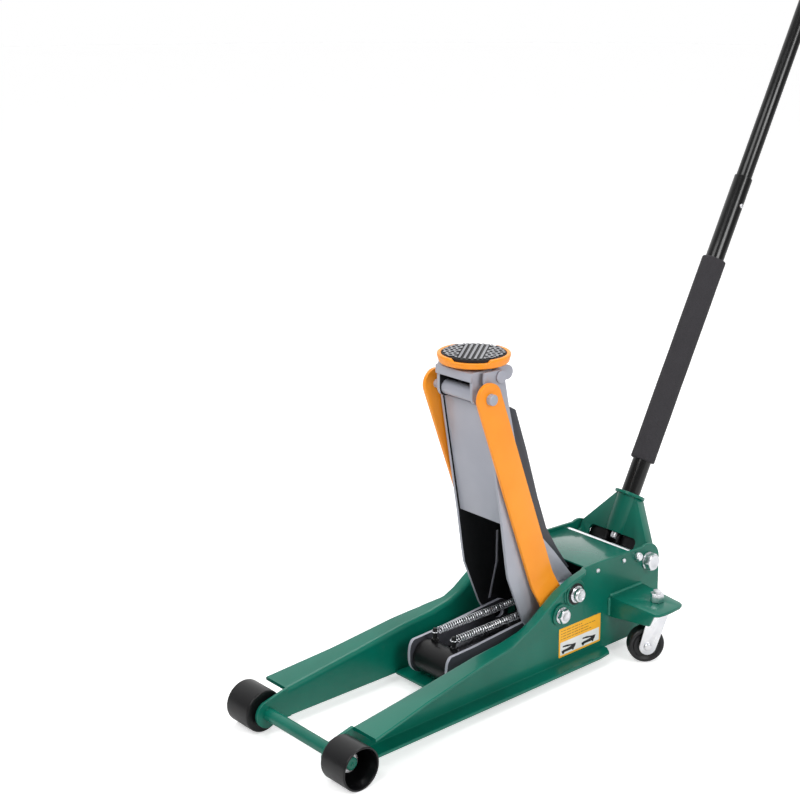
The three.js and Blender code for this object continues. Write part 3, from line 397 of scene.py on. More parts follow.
def soften(points, radius=0.8, steps=3):
    """Rounds the corners of an open profile."""
    points = [Vector(p) for p in points]
    made = [points[0]]
    for before, corner, after in zip(points, points[1:], points[2:]):
        into, out = corner - before, after - corner
        reach = min(radius, into.length * 0.45, out.length * 0.45)
        if reach < 0.05 or into.angle(out, 0) < rad(8):
            made.append(corner)
            continue
        start = corner - into.normalized() * reach
        end = corner + out.normalized() * reach
        for i in range(steps + 1):
            t = i / steps
            made.append(start * (1 - t) ** 2 + corner * 2 * t * (1 - t) + end * t ** 2)
    return made + [points[-1]]


def grid_mesh(bm, rows, close_rows=False, close_columns=False):
    """Quads between rows of points."""
    rings = [[bm.verts.new(p) for p in row] for row in rows]
    count = len(rings)
    width = len(rings[0])
    for i in range(count if close_rows else count - 1):
        for j in range(width if close_columns else width - 1):
            a, b = rings[i], rings[(i + 1) % count]
            corners = [a[j], b[j], b[(j + 1) % width], a[(j + 1) % width]]
            bm.faces.new(corners)
    return rings


def inset(points, by):
    """A closed outline moved inwards by a distance; the points run anticlockwise."""
    made = []
    for before, p, after in zip(points[-1:] + points[:-1], points, points[1:] + points[:1]):
        into = (Vector(p) - Vector(before)).normalized()
        out = (Vector(after) - Vector(p)).normalized()
        along_corner = (into + out).normalized()
        made.append(Vector(p) + Vector((-along_corner.y, along_corner.x)) * by)
    return made


def plate_y(bm, points, low, high, side=1, ease=0.7):
    """An outline in X and Z, made solid between two distances from the middle, with eased edges."""
    points = [Vector(p) for p in points]
    levels = ((low, ease), (low + ease * 0.3, ease * 0.3), (low + ease, 0),
              (high - ease, 0), (high - ease * 0.3, ease * 0.3), (high, ease))
    lofted(bm, [[Vector((p.x, y * side, p.y)) for p in inset(points, by)] for y, by in levels])


def eased_block(bm, low, high, ease=0.7):
    low, high = Vector(low), Vector(high)
    size = high - low
    place = Matrix.Translation((low + high) / 2) @ Matrix.Diagonal((*size, 1))
    made = bmesh.ops.create_cube(bm, size=1, matrix=place)
    edges = {e for v in made["verts"] for e in v.link_edges}
    bmesh.ops.bevel(bm, geom=list(edges), offset=ease, segments=2, profile=0.5, affect="EDGES")


def arc(x, z, radius, start, end, steps=12):
    angles = [rad(start + (end - start) * k / steps) for k in range(steps + 1)]
    return [(x + radius * math.cos(a), z + radius * math.sin(a)) for a in angles]


def recolour(piece, finish, chosen):
    """Gives another finish to the faces that the test picks, by centre and normal in millimetres."""
    piece.data.materials.append(finish)
    last = len(piece.data.materials) - 1
    for face in piece.data.polygons:
        if chosen(FROM_ROW @ face.center, face.normal):
            face.material_index = last


AXES = {
    "X": lambda r, a, h: (h, r * math.cos(a), r * math.sin(a)),
    "Y": lambda r, a, h: (r * math.sin(a), h, r * math.cos(a)),
    "Z": lambda r, a, h: (r * math.cos(a), r * math.sin(a), h),
}


def turned(bm, points, axis="Y", at=(0, 0, 0), segments=64, radius=0.8, side=1):
    """A turned piece from [radius, height] points, with its corners softened."""
    place = AXES[axis]
    rows = []
    for r, h in soften(points, radius):
        ring = [place(max(r, 0.0), 2 * math.pi * k / segments, h * side) for k in range(segments)]
        rows.append([Vector(p) + Vector(at) for p in ring])
    grid_mesh(bm, rows, close_columns=True)
    return bm


def mirrored(half):
    """A profile for both ends, from the points of the outer one."""
    return [(r, -y) for r, y in reversed(half)] + list(half)


def hexagon(bm, across, low, high, at, side, axis="Y"):
    """A hexagon head with its corners turned off, and a shallow dish on top."""
    place = AXES[axis]
    levels = [(low, across), (high - 1.7, across), (high - 0.8, across * 0.535), (high - 0.25, across * 0.5),
              (high, across * 0.465), (high, across * 0.3), (high - 0.35, across * 0.27), (high - 0.35, 0)]
    rows = []
    for h, limit in levels:
        ring = []
        for k in range(72):
            a = 2 * math.pi * k / 72
            flat = across / 2 / math.cos((a + math.pi / 6) % (math.pi / 3) - math.pi / 6)
            ring.append(Vector(place(min(flat, limit), a, h * side)) + Vector(at))
        rows.append(ring)
    grid_mesh(bm, rows, close_columns=True)
    return bm


def tube_along(bm, points, radius, segments=8, closed=False):
    """A round wire along a line of points, with closed ends."""
    points = [Vector(p) for p in points]
    count = len(points)
    rows = []
    normal = None
    for i, p in enumerate(points):
        ahead = points[(i + 1) % count] if closed or i < count - 1 else p
        behind = points[i - 1] if closed or i > 0 else p
        tangent = (ahead - behind).normalized()
        if normal is None:
            normal = tangent.orthogonal()
        normal = (normal - tangent * normal.dot(tangent)).normalized()
        other = tangent.cross(normal)
        angles = [2 * math.pi * k / segments for k in range(segments)]
        rows.append([p + (normal * math.cos(a) + other * math.sin(a)) * radius for a in angles])
    rings = grid_mesh(bm, rows, close_rows=closed, close_columns=True)
    if not closed:
        bm.faces.new(rings[0])
        bm.faces.new(rings[-1])
    return bm


def lofted(bm, rows):
    """Closed sections joined one after another, with both ends closed."""
    rings = grid_mesh(bm, rows, close_columns=True)
    bm.faces.new(rings[0])
    bm.faces.new(rings[-1])
    return bm


# ---------- side plates ----------
WEB_INNER = 70
WEB_OUTER = 75
TOP_LINE = [
    (-6.8, 48.8), (28, 57), (151, 73), (249, 87), (303, 91.6), (343, 99), (364, 108), (384, 121),
    (415, 140), (443, 151), (468, 156.4), (513, 157), (612.7, 153.7),
]
TOP_WIDTH = [(32, 45), (138, 33), (279, 24), (308, 21.5), (340, 13.5), (466, 13.5), (474, 9.5), (479, 0)]
FOOT_WIDTH = [(38, 25.7), (492, 25.7), (514, 22.7), (522, 11.6)]
HUMP_RADIUS = 27
FOOT_BEND = 3.0


def along(table, x):
    """The value at x on a line of points."""
    for (x0, v0), (x1, v1) in zip(table, table[1:]):
        if x0 <= x <= x1:
            return v0 + (v1 - v0) * (x - x0) / (x1 - x0)
    return None


def side_stations():
    """Places along the plate with its top, bottom and flange widths; a flange starts in one step."""
    xs = [-20 * math.cos(rad(a)) for a in range(0, 88, 6)]
    xs += [5, 12.8, 20, 28, 32, 38]
    xs += [38 + 6 * k for k in range(1, 75)]
    xs += [478.9, 486, 492, 500, 506, 510, 514, 518, 520, 522]
    xs += [530, 560, 590, 610, 612.7]
    xs += [PIVOT.x + HUMP_RADIUS * math.sin(rad(a)) for a in range(-20, 91, 6)] + [PIVOT.x + HUMP_RADIUS]
    xs = sorted(set(round(x, 3) for x in xs))
    stations = []
    for x in xs:
        if x < -6.8:
            top = 30 + math.sqrt(max(400 - x * x, 0))
        elif x <= 612.7:
            top = along(TOP_LINE, x)
        else:
            top = PIVOT.z + math.sqrt(max(HUMP_RADIUS ** 2 - (x - PIVOT.x) ** 2, 0))
        bottom = 30 - math.sqrt(400 - x * x) if x < 12.8 else 14.4
        if x > 610:
            bottom = 14.4 + (x - 610) * 47.6 / 41.7
        upper = along(TOP_WIDTH, x) or 0
        lower = along(FOOT_WIDTH, x) or 0
        if x == 32:
            stations.append((x, top, bottom, 0, lower))
        if x == 38:
            stations.append((x, top, bottom, upper, 0))
        stations.append((x, top, bottom, upper, lower))
        if x == 522:
            stations.append((x, top, bottom, upper, 0))
    return stations


def flange_section(width, level, into, bend=8.0):
    """Half of a plate's section, from the inner face round the bend to the outer face."""
    outer = max(0.8, min(bend, width * 0.8))
    inner = max(0.4, min(bend * 0.4, width * 0.4))
    tip = WEB_OUTER + width
    arc = [rad(a) for a in (0, 18, 36, 54, 72, 90)]
    points = [(WEB_INNER + outer * (1 - math.cos(a)), level + into * outer * (1 - math.sin(a))) for a in arc]
    if width < 1:
        points += [(tip - 0.8, level), (tip - 0.2, level + into * 0.3)]
        points += [(tip, level + into * 0.8), (tip, level + into)]
        points += [(WEB_OUTER, level + into * (1 + 0.2 * k)) for k in range(1, 7)]
        return points
    points += [(tip - 1.1, level), (tip - 0.1, level + into * 0.9), (tip - 0.1, level + into * 4.1),
               (tip - 1.1, level + into * 5)]
    points += [(WEB_OUTER + inner * (1 - math.sin(a)), level + into * (5 + inner * (1 - math.cos(a))))
               for a in arc]
    return points


def side_plate(name, side):
    bm = bmesh.new()
    rows = []
    for x, top, bottom, upper, lower in side_stations():
        if top - bottom < 2.6:
            top, bottom = 31.3, 28.7
        high = flange_section(upper, top, -1)
        low = flange_section(lower, bottom, 1, FOOT_BEND)
        if top - bottom < 40 and x < 0:
            middle = (top + bottom) / 2
            high = [(y, max(z, middle)) for y, z in high]
            low = [(y, min(z, middle)) for y, z in low]
        rows.append([Vector((x, y * side, z)) for y, z in high + low[::-1]])
    lofted(bm, rows)
    turned(bm, [(0, 74), (14, 74), (14, 79.6), (9.4, 79.6), (0, 79.6)], at=(0, 0, 30), side=side)
    turned(bm, [(0, 74), (20, 74), (20, 79), (0, 79)], at=MAIN, side=side, radius=1.2)
    turned(bm, [(0, 74), (17, 74), (17, 78), (0, 78)], at=LINK_FOOT, side=side, radius=1.2)
    return stand_for(f"side_plate_{name}", bm, crease=28)


for name, side in SIDES:
    side_plate(name, side)

# ---------- front axle and rollers ----------
AXLE = (0, 0, 30)

bm = bmesh.new()
turned(bm, mirrored([(9, 0), (9, 109.3), (7.6, 110.3), (2.4, 110.3), (0.6, 108.4), (0, 108.4)]), at=AXLE)
stand_for("front_axle", bm)

ROLLER = [
    (9.4, 80.4), (24, 80.4), (27.5, 80.4), (29.4, 81.1), (30, 83), (30, 127.6), (29.6, 128.9), (28.6, 129.4),
    (27.6, 129.1), (27, 128), (26.4, 92), (24.4, 88.2), (20, 86.6), (14, 86.4), (14, 100.4), (9.4, 100.4),
    (9.4, 80.4),
]

for name, side in SIDES:
    bm = bmesh.new()
    turned(bm, ROLLER, at=AXLE, segments=96, radius=1.2, side=side)
    stand_for(f"front_roller_{name}", bm)
    bm = bmesh.new()
    ring = [(9.1, 102.6), (13.8, 102.6), (13.8, 105.2), (9.1, 105.2), (9.1, 102.6)]
    turned(bm, ring, at=AXLE, side=side, radius=0.5)
    stand_for(f"axle_ring_{name}", bm)

# ---------- links ----------
ARM_ANGLE = 69.5
ARM_LENGTH = 377.2
UP_ARM = Vector((-math.cos(rad(ARM_ANGLE)), 0, math.sin(rad(ARM_ANGLE))))
TOP = MAIN + UP_ARM * ARM_LENGTH
LINK_HEAD = LINK_FOOT + UP_ARM * ARM_LENGTH
LINK_LEAN = Matrix.Translation(LINK_FOOT) @ Matrix.Rotation(-rad(90 - ARM_ANGLE), 4, "Y")


def link_bar(name, side):
    """A flat bar with round ends; it steps outwards near its foot."""
    half, thick = 22.5, 6.0
    stops = [-half * math.cos(rad(a)) for a in range(0, 90, 6)]
    stops += [8 * k for k in range(1, 47)] + [ARM_LENGTH + half * math.sin(rad(a)) for a in range(0, 91, 6)]
    rows = []
    for s in sorted(set(round(s, 3) for s in stops)):
        over = max(-s, s - ARM_LENGTH, 0.0)
        wide = max(math.sqrt(max(half * half - over * over, 0)), 0.9)
        t = min(max((s - 22) / 42, 0), 1)
        low = 52 + 10 * (1 - t * t * (3 - 2 * t))
        edge = min(0.9, wide * 0.5)
        corners = [
            (wide, low + edge), (wide - edge * 0.3, low + edge * 0.3), (wide - edge, low),
            (-wide + edge, low), (-wide + edge * 0.3, low + edge * 0.3), (-wide, low + edge),
            (-wide, low + thick - edge), (-wide + edge * 0.3, low + thick - edge * 0.3),
            (-wide + edge, low + thick), (wide - edge, low + thick), (wide - edge * 0.3, low + thick - edge * 0.3), (wide, low + thick - edge)]
        rows.append([Vector((x, y * side, s)) for x, y in corners])
    bm = bmesh.new()
    lofted(bm, rows)
    return stand_for(f"link_{name}", bm, matrix=LINK_LEAN, crease=24)


for name, side in SIDES:
    link_bar(name, side)

# ---------- plates of the frame and the arm, with softened edges ----------
for part, edge in (
        ("front_cross_plate", 0.8), ("rear_base_plate", 0.8), ("cover_plate", 0.9), ("pump_block", 1.2),
        ("arm_front_plate", 0.8), ("arm_rear_plate", 0.9)):
    softened(part, edge)
for name, side in SIDES:
    for part, edge in (("caster_bracket", 1.0), ("caster_fork", 0.5)):
        softened(f"{part}_{name}", edge)
    yoke_plate = softened(f"yoke_plate_{name}", 0.9)
    # The plates' edge faces take the light grey: painted highlight on the edges.
    recolour(yoke_plate, ARM_GREY, lambda at, normal: abs(normal.y) < 0.9)
    arm_plate = softened(f"arm_plate_{name}", 0.8)
    # The inner faces of the arm plates are made near-black: painted shade.
    recolour(arm_plate, SHADE, lambda at, normal: abs(at.y) < 43.8 and normal.y * at.y < 0)


def saddle_bracket():
    """A folded cradle under the cup: a roof, a front lip and two ears that hang on the pins."""
    front, top = LINK_HEAD.x - 14, TOP.z + 10
    inner, outer = 31, 36.5
    ear = [(front, top)] + arc(LINK_HEAD.x, LINK_HEAD.z, 14, 180, 300) + [(TOP.x + 6, TOP.z - 12)]
    ear += arc(TOP.x + 26, TOP.z - 1, 10.5, -100, 70) + [(TOP.x + 24, top)]
    bm = bmesh.new()
    for name, side in SIDES:
        plate_y(bm, ear, inner, outer, side)
    eased_block(bm, (front + 0.6, -inner - 2, top - 5.5), (TOP.x + 25, inner + 2, top))
    eased_block(bm, (front - 3.5, -outer, TOP.z - 3.5), (front + 1.8, outer, top), 1.4)
    turned(bm, [(0, 6), (12, 6), (12, 10.8), (0, 10.8)], axis="Z", at=(TOP.x - 6, 0, TOP.z), radius=0.6)
    eased_block(bm, (TOP.x + 1, -inner - 1, LINK_HEAD.z - 5), (TOP.x + 5, inner + 1, top - 3))
    bracket = stand_for("saddle_bracket", bm)
    # Everything inside the bracket, the back web too, is made near-black: painted shade.
    recolour(bracket, SHADE, lambda at, normal: (
        abs(at.y) < inner + 0.3 and at.z < top - 4 and at.x > front + 2.2))


saddle_bracket()

# A narrow stiffener runs down the inner face of each arm plate.
STIFFENER = [(410, 200), (410, 150), (395, 95), (399, 95), (414, 150), (414, 200)]
for name, side in SIDES:
    bm = bmesh.new()
    plate_y(bm, STIFFENER, 42.8, 43.9, side, ease=0.3)
    finished(f"arm_stiffener_{name}", bm, "lift_arm", "arm_grey")

# ---------- handle socket ----------
CAM = PIVOT - Vector((0, 0, 22))
socket_piece = softened("handle_socket", 0.6)
recolour(socket_piece, ZINC, lambda at, normal: abs(at.y) < 11.5 and (at - CAM).xz.length < 8.6)
recolour(socket_piece, BLACK, lambda at, normal: 9.8 < abs(at.y) < 14.2 and (at - PIVOT).length < 34)

for name, side in SIDES:
    bm = bmesh.new()
    eased_block(bm, (-2, 15, 0), (10, 50, 33), 1.6)
    eased_block(bm, (9.8, -1, -4), (12.8, 18, 25), 0.8)
    if side < 0:
        bmesh.ops.scale(bm, vec=(1, -1, 1), verts=bm.verts)
    finished(f"socket_stop_{name}", bm, "handle_socket", "gloss_black", matrix=HANDLE_LEAN)

bm = bmesh.new()
turned(bm, [(15.6, 85.4), (24, 85.4), (24.6, 86.2), (24.6, 89.6), (24, 90.4), (15.6, 90.4), (15.6, 85.4)],
       axis="Z", radius=0.6)
finished("socket_collar", bm, "handle_socket", "frame_green", matrix=HANDLE_LEAN)

# The knuckle between the handle's square drive and the release valve.
bm = bmesh.new()
turned(bm, [(0, 14), (6.6, 14), (7.4, 15), (7.4, 24), (6, 25.5), (0, 25.5)], axis="Z", radius=0.8)
turned(bm, mirrored([(2.6, 0), (2.6, 8), (2, 8.8), (0, 8.8)]), at=(0, 0, 19), radius=0.5, segments=24)
finished("release_knuckle", bm, "handle", "bright_zinc", matrix=HANDLE_LEAN)

# ---------- bolts and shafts ----------
TIE_AT = (599, 0, 143)
SCREWS = (("front", (508.3, 0, 144.5)), ("rear", (567.5, 0, 144.5)))

bm = bmesh.new()
turned(bm, mirrored([(12, 0), (12, 78), (11, 79), (0, 79)]), at=MAIN)
stand_for("main_shaft", bm)

bm = bmesh.new()
turned(bm, mirrored([(6, 0), (6, 76), (6.6, 76), (6.6, 80.6), (5, 83), (0, 83)]), at=TIE_AT, radius=0.9)
stand_for("tie_rod", bm)

for name, side in SIDES:
    bm = bmesh.new()
    turned(bm, [(0, 79.3), (12.6, 79.3), (13, 79.8), (13, 81.6), (12.4, 81.9), (9, 81.9)],
           at=MAIN, side=side, radius=0.5)
    turned(bm, [(0, 81.7), (10.6, 81.7), (10.6, 87.6), (9.2, 89.9), (7.2, 89.9), (6.8, 89.3), (0, 89.1)],
           at=MAIN, side=side, radius=0.7)
    stand_for(f"main_shaft_bolt_{name}", bm)
    bm = bmesh.new()
    turned(bm, [(0, 79), (16.4, 79), (16.4, 79.8), (0, 79.8)], at=MAIN, side=side, radius=0.3)
    finished(f"main_shaft_washer_{name}", bm, "frame", "gloss_black")

    bm = bmesh.new()
    turned(bm, [(0, 59.5), (8.4, 59.5), (9, 60.1), (9, 79)], at=LINK_FOOT, side=side)
    turned(bm, [(0, 78.3), (12.4, 78.3), (12.4, 80), (11.8, 80.3), (0, 80.3)], at=LINK_FOOT, side=side, radius=0.4)
    hexagon(bm, 20, 80.2, 87.3, LINK_FOOT, side)
    stand_for(f"link_pivot_bolt_{name}", bm)

    bm = bmesh.new()
    turned(bm, [(0, 60), (7.4, 60), (8, 60.6), (8, 76)], at=PIVOT, side=side)
    turned(bm, [(0, 75.3), (13.8, 75.3), (13.8, 77.2), (13.2, 77.6), (0, 77.6)],
           at=PIVOT, side=side, radius=0.4)
    hexagon(bm, 24, 77.6, 88.8, PIVOT, side)
    stand_for(f"handle_pivot_bolt_{name}", bm)

    for place, at in SCREWS:
        bm = bmesh.new()
        turned(bm, [(0, 62.7), (2.6, 62.7), (3, 63.2), (3, 75.3), (3.6, 75.3), (3.5, 76.8), (2.7, 77.8),
                    (1.2, 78), (0, 77.6)], at=at, side=side, radius=0.4, segments=32)
        stand_for(f"cover_screw_{place}_{name}", bm)

# ---------- casters ----------
HEADING = rad(145.6)


def beside_caster(side):
    return Matrix.Translation((577, 135 * side, 0)) @ Matrix.Rotation(HEADING, 4, "Z")


WHEEL_PROFILE = [
    (4.4, 11), (8.6, 11), (9, 10.4), (9, 7.8), (10, 7.5), (19.2, 7.5), (20.4, 8.2), (21.6, 9.6), (23, 10),
    (25.2, 9.9), (26.9, 8.6), (27.8, 6.6), (28.2, 3.6), (28.2, 0)]

for name, side in SIDES:
    turn = beside_caster(side)
    bm = bmesh.new()
    turned(bm, mirrored(WHEEL_PROFILE[::-1]) + [(4.4, -11)], at=(16.3, 0, 28.2), radius=0.6)
    stand_for(f"caster_wheel_{name}", bm, matrix=turn)
    bm = bmesh.new()
    turned(bm, mirrored([(4, 0), (4, 14.9), (6.2, 14.9), (6.1, 16.4), (5, 17.9), (2.4, 18.3), (0, 18.3)]),
           at=(16.3, 0, 28.2), radius=0.5, segments=40)
    stand_for(f"caster_axle_{name}", bm, matrix=turn)


def caster_race(name, side):
    """The ball race between the bracket and the fork."""
    bm = bmesh.new()
    turned(bm, [(0, 86.2), (15.5, 86.2), (17, 87), (17, 88.6), (15.8, 89.8), (0, 89.8)], axis="Z",
           at=(577, 135 * side, 0), radius=0.6)
    finished(f"caster_race_{name}", bm, "frame", "bright_zinc")


LUG_RADIUS = 20.6


def weld_bead(name, points, size, body="frame", slot="frame_green", finish=LIT_WELD_GREEN):
    """A run of weld: a low bead with the ripples of its pools."""
    points = [Vector(p) for p in points]
    length = sum((b - a).length for a, b in zip(points, points[1:]))
    steps = max(int(length / 0.55), 8)
    path = []
    for k in range(steps + 1):
        want = length * k / steps
        for a, b in zip(points, points[1:]):
            part = (b - a).length
            if want <= part + 1e-6:
                path.append(a + (b - a) * (want / part))
                break
            want -= part
    bm = bmesh.new()
    rows = []
    for k, p in enumerate(path):
        tangent = (path[min(k + 1, steps)] - path[max(k - 1, 0)]).normalized()
        first = tangent.orthogonal().normalized()
        other = tangent.cross(first)
        ripple = 1 + 0.16 * abs(math.sin(k * 0.55 * math.pi / 2.6)) + 0.1 * noise.noise(p * 0.35)
        reach = size * ripple * min(1.0, 0.35 + min(k, steps - k) * 0.22)
        angles = [2 * math.pi * j / 10 for j in range(10)]
        rows.append([p + (first * math.cos(a) + other * math.sin(a)) * reach for a in angles])
    lofted(bm, rows)
    return finished(name, bm, body, slot, finish=finish, crease=60)


for name, side in SIDES:
    caster_race(name, side)
    weld_bead(f"bracket_weld_top_{name}",
              [(537, 75.6 * side, 95.6), (560, 75.6 * side, 95.6), (611, 75.6 * side, 95.6)], 2.8)
    weld_bead(f"bracket_weld_front_{name}", [(535.6, 75.8 * side, 94), (535.6, 75.8 * side, 64)], 2.6)
    weld_bead(f"lug_weld_{name}", [
        (MAIN.x + LUG_RADIUS * math.cos(rad(a)), 75.6 * side, MAIN.z + LUG_RADIUS * math.sin(rad(a)))
        for a in range(0, 361, 12)], 1.2)

# ---------- springs ----------
def coil(bm, start, end, radius, wire, turns, segments=16):
    """A helix of wire along X."""
    count = turns * segments
    points = []
    for k in range(count + 1):
        a = 2 * math.pi * k / segments
        x = start[0] + (end[0] - start[0]) * k / count
        points.append((x, start[1] + radius * math.sin(a), start[2] + radius * math.cos(a)))
    tube_along(bm, points, wire, segments=6)


SPRING_FRONT, SPRING_REAR, SPRING_POST = 271.5, 430.5, 431.5
for name, side in SIDES:
    bm = bmesh.new()
    y = 20 * side
    coil(bm, (SPRING_FRONT, y, 88), (SPRING_REAR, y, 88), 4.9, 0.85, 36)
    spring = stand_for(f"return_spring_{name}", bm, crease=60)
    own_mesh(spring)
    bm = bmesh.new()
    eye = [(264 + 4.9 * math.cos(rad(a)), y + 4.9 * math.sin(rad(a)), 88.4) for a in range(28, 333, 14)]
    tube_along(bm, [(271.5, y, 92.5), (269.6, y + 1.2, 90.4)] + eye, 0.95, segments=8)
    finished(f"return_spring_eye_{name}", bm, "ram_and_yoke", "machined_steel", crease=60)

bm = bmesh.new()
coil(bm, (581, 0, 107.2), (609.5, 0, 107.2), 10.6, 1.2, 7, 24)
stand_for("pump_spring", bm, crease=60, stretch=("pump_plunger", (581, 0, 107.2), (609, 0, 107.2)))

# ---------- ram, crossbar and cylinder ----------
bm = bmesh.new()
turned(bm, [(0, 282.3), (17, 282.3), (17, 430), (0, 430)], axis="X", at=(0, 0, 50))
stand_for("ram", bm, finish=OILED)

bm = bmesh.new()
turned(bm, mirrored([(24, 0), (24, 34), (22.6, 36.7), (0, 36.7)]), at=(258, 0, 50), segments=72, radius=1.4)
for name, side in SIDES:
    stem = [(0, 50), (3.1, 50), (3.1, 76)]
    for k in range(8):
        stem += [(3.35, 77 + k * 2), (2.95, 78 + k * 2)]
    turned(bm, stem + [(3.1, 93.2), (2.2, 94), (0, 94)], axis="Z", at=(264, 20 * side, 0), segments=24, radius=0.3)
    hexagon(bm, 10, 73.2, 78.6, (264, 20 * side, 0), 1, axis="Z")
stand_for("yoke_crossbar", bm)

bm = bmesh.new()
turned(bm, [(17.4, 385), (24, 385), (29, 397), (29, 404), (28.2, 405), (28.2, 407), (29, 408), (29, 526.7),
            (0, 526.7)], axis="X", at=(0, 0, 50), segments=72)
for name, side in SIDES:
    y = 20 * side
    eased_block(bm, (432, y - 4, 60), (438, y + 4, 93), 0.8)
stand_for("hydraulic_cylinder", bm)

# ---------- saddle ----------
SADDLE_AT = Vector((TOP.x - 6, 0, 0))
CUP_UNDER = TOP.z + 11.5
CUP_TURN = rad(40)
NOTCH_HALF = rad(31)
NOTCH_DEPTH = 4.2


def saddle_cup():
    """A dish whose rim stands up in two arcs, with a notch in front and behind."""
    bm = bmesh.new()
    count = 144
    profile = soften([
        (0, -14), (9, -14), (10, -13), (10, 0), (18, 0), (24, 1.6), (46.5, 2.4), (49.2, 3), (50.6, 4.6),
        (52.7, 12.6), (52.5, 15.2), (51.6, 16), (47.8, 16), (46.9, 15.2), (46.9, 4.1), (0, 4.1)], 0.8)
    rows = []
    for k in range(count):
        angle = 2 * math.pi * k / count
        off = abs((angle + math.pi / 2) % math.pi - math.pi / 2)
        drop = NOTCH_DEPTH * (1 - min(max((off - NOTCH_HALF) / rad(2.4), 0), 1))
        row = []
        for r, h in profile:
            z = h
            if r > 46.8 and h > 10:
                z = h - drop * (h - 10) / 6  # only the rim above 10 is lowered
            row.append(Vector((r * math.cos(angle), r * math.sin(angle), z)))
        rows.append(row)
    grid_mesh(bm, rows, close_rows=True)
    turn = Matrix.Translation((SADDLE_AT.x, 0, CUP_UNDER)) @ Matrix.Rotation(CUP_TURN, 4, "Z")
    return stand_for("saddle_cup", bm, matrix=turn, crease=40)


saddle_cup()


def ribbon(bm, line, width, low, high):
    """A raised rib that follows a line of points, with square ends and eased edges."""
    line = [Vector((x, y, 0)) for x, y in line]
    rows = []
    for k, p in enumerate(line):
        into = (p - line[k - 1]).normalized() if k else (line[1] - p).normalized()
        out = (line[k + 1] - p).normalized() if k < len(line) - 1 else into
        tangent = (into + out).normalized()
        across = Vector((-tangent.y, tangent.x, 0))
        stretch = 1 / max(into.dot(tangent), 0.6)
        half = width / 2 * stretch
        ease = 0.35
        rows.append([p + across * a + Vector((0, 0, z)) for a, z in (
            (-half, low), (-half, high - ease), (-half + ease, high), (half - ease, high),
            (half, high - ease), (half, low))])
    lofted(bm, rows)


def inside_pieces(line, radius, least=4.0):
    """The stretches of a line that lie inside the pad."""
    runs, run = [], []
    for p in line:
        if math.hypot(*p) < radius:
            run.append(p)
        elif run:
            runs.append(run)
            run = []
    if run:
        runs.append(run)
    long_enough = lambda r: len(r) > 1 and math.dist(r[0], r[-1]) > least
    return [r for r in runs if long_enough(r)]


PAD_BASE = CUP_UNDER + 4.3
PAD_TOP = TOP.z + 29.1
RIB_LOW = PAD_TOP - 1.5
RIB_PITCH = 7.6


def saddle_pad():
    """A rubber pad: straight ribs through the middle and stepped ribs on both sides."""
    bm = bmesh.new()
    turned(bm, [(0, PAD_BASE), (46.3, PAD_BASE), (46.3, RIB_LOW), (0, RIB_LOW)], axis="Z", segments=96)
    stand_for("saddle_pad", bm, matrix=Matrix.Translation((SADDLE_AT.x, 0, 0)), finish=PAD)
    bm = bmesh.new()
    fine = [k * 1.0 for k in range(-50, 51)]
    for k in range(-2, 3):
        for run in inside_pieces([(x, k * RIB_PITCH) for x in fine], 44.6):
            ribbon(bm, run, 3.6, RIB_LOW - 0.3, PAD_TOP)
    for side in (-1, 1):
        for k in range(4):
            line = []
            for n in range(-7, 8):
                y = side * (23.0 + k * RIB_PITCH + (2.6 if n % 2 else -2.6))
                line += [(n * 9 - 3.4, y), (n * 9 + 3.4, y)]
            dense = []
            for a, b in zip(line, line[1:]):
                steps = max(int(math.dist(a, b) / 1.2), 1)
                dense += [(a[0] + (b[0] - a[0]) * t / steps, a[1] + (b[1] - a[1]) * t / steps)
                          for t in range(steps)]
            for run in inside_pieces(dense, 44.6):
                ribbon(bm, run, 3.2, RIB_LOW - 0.3, PAD_TOP)
    turn = Matrix.Translation((SADDLE_AT.x, 0, 0)) @ Matrix.Rotation(rad(38), 4, "Z")
    ribs = finished("saddle_pad_ribs", bm, "saddle", "pad_rubber", finish=RIB, matrix=turn)
    # The ribs' upward faces keep the light grey; their sides take the black pad rubber.
    recolour(ribs, PAD, lambda at, normal: normal.z < 0.5)


saddle_pad()

# ---------- pins at the top of the arm ----------
bm = bmesh.new()
half = [(6.5, 30.7), (6.5, 58.3), (8, 58.3), (8, 60.6), (6.9, 60.9), (6.9, 61.9), (8, 62.2), (8, 65.3),
        (6.6, 66.3), (0, 66.3)]
turned(bm, [(11, 0), (11, 30.7)] + half, at=LINK_HEAD, side=1, radius=0.7)
turned(bm, [(11, 0), (11, 30.7)] + half, at=LINK_HEAD, side=-1, radius=0.7)
stand_for("link_pin", bm)

for name, side in SIDES:
    bm = bmesh.new()
    turned(bm, [(0, 31.3), (8, 31.3), (8, 36.8), (11, 36.8), (11, 43.2), (8, 43.2), (8, 48.8), (9.4, 48.8),
                (9.4, 50.7), (8.6, 51.3), (0, 51.3)], at=TOP, side=side, radius=0.5)
    stand_for(f"saddle_pin_{name}", bm)

# ---------- handle ----------
def tube_row(profile, **more):
    bm = bmesh.new()
    return turned(bm, profile, axis="Z", **more)


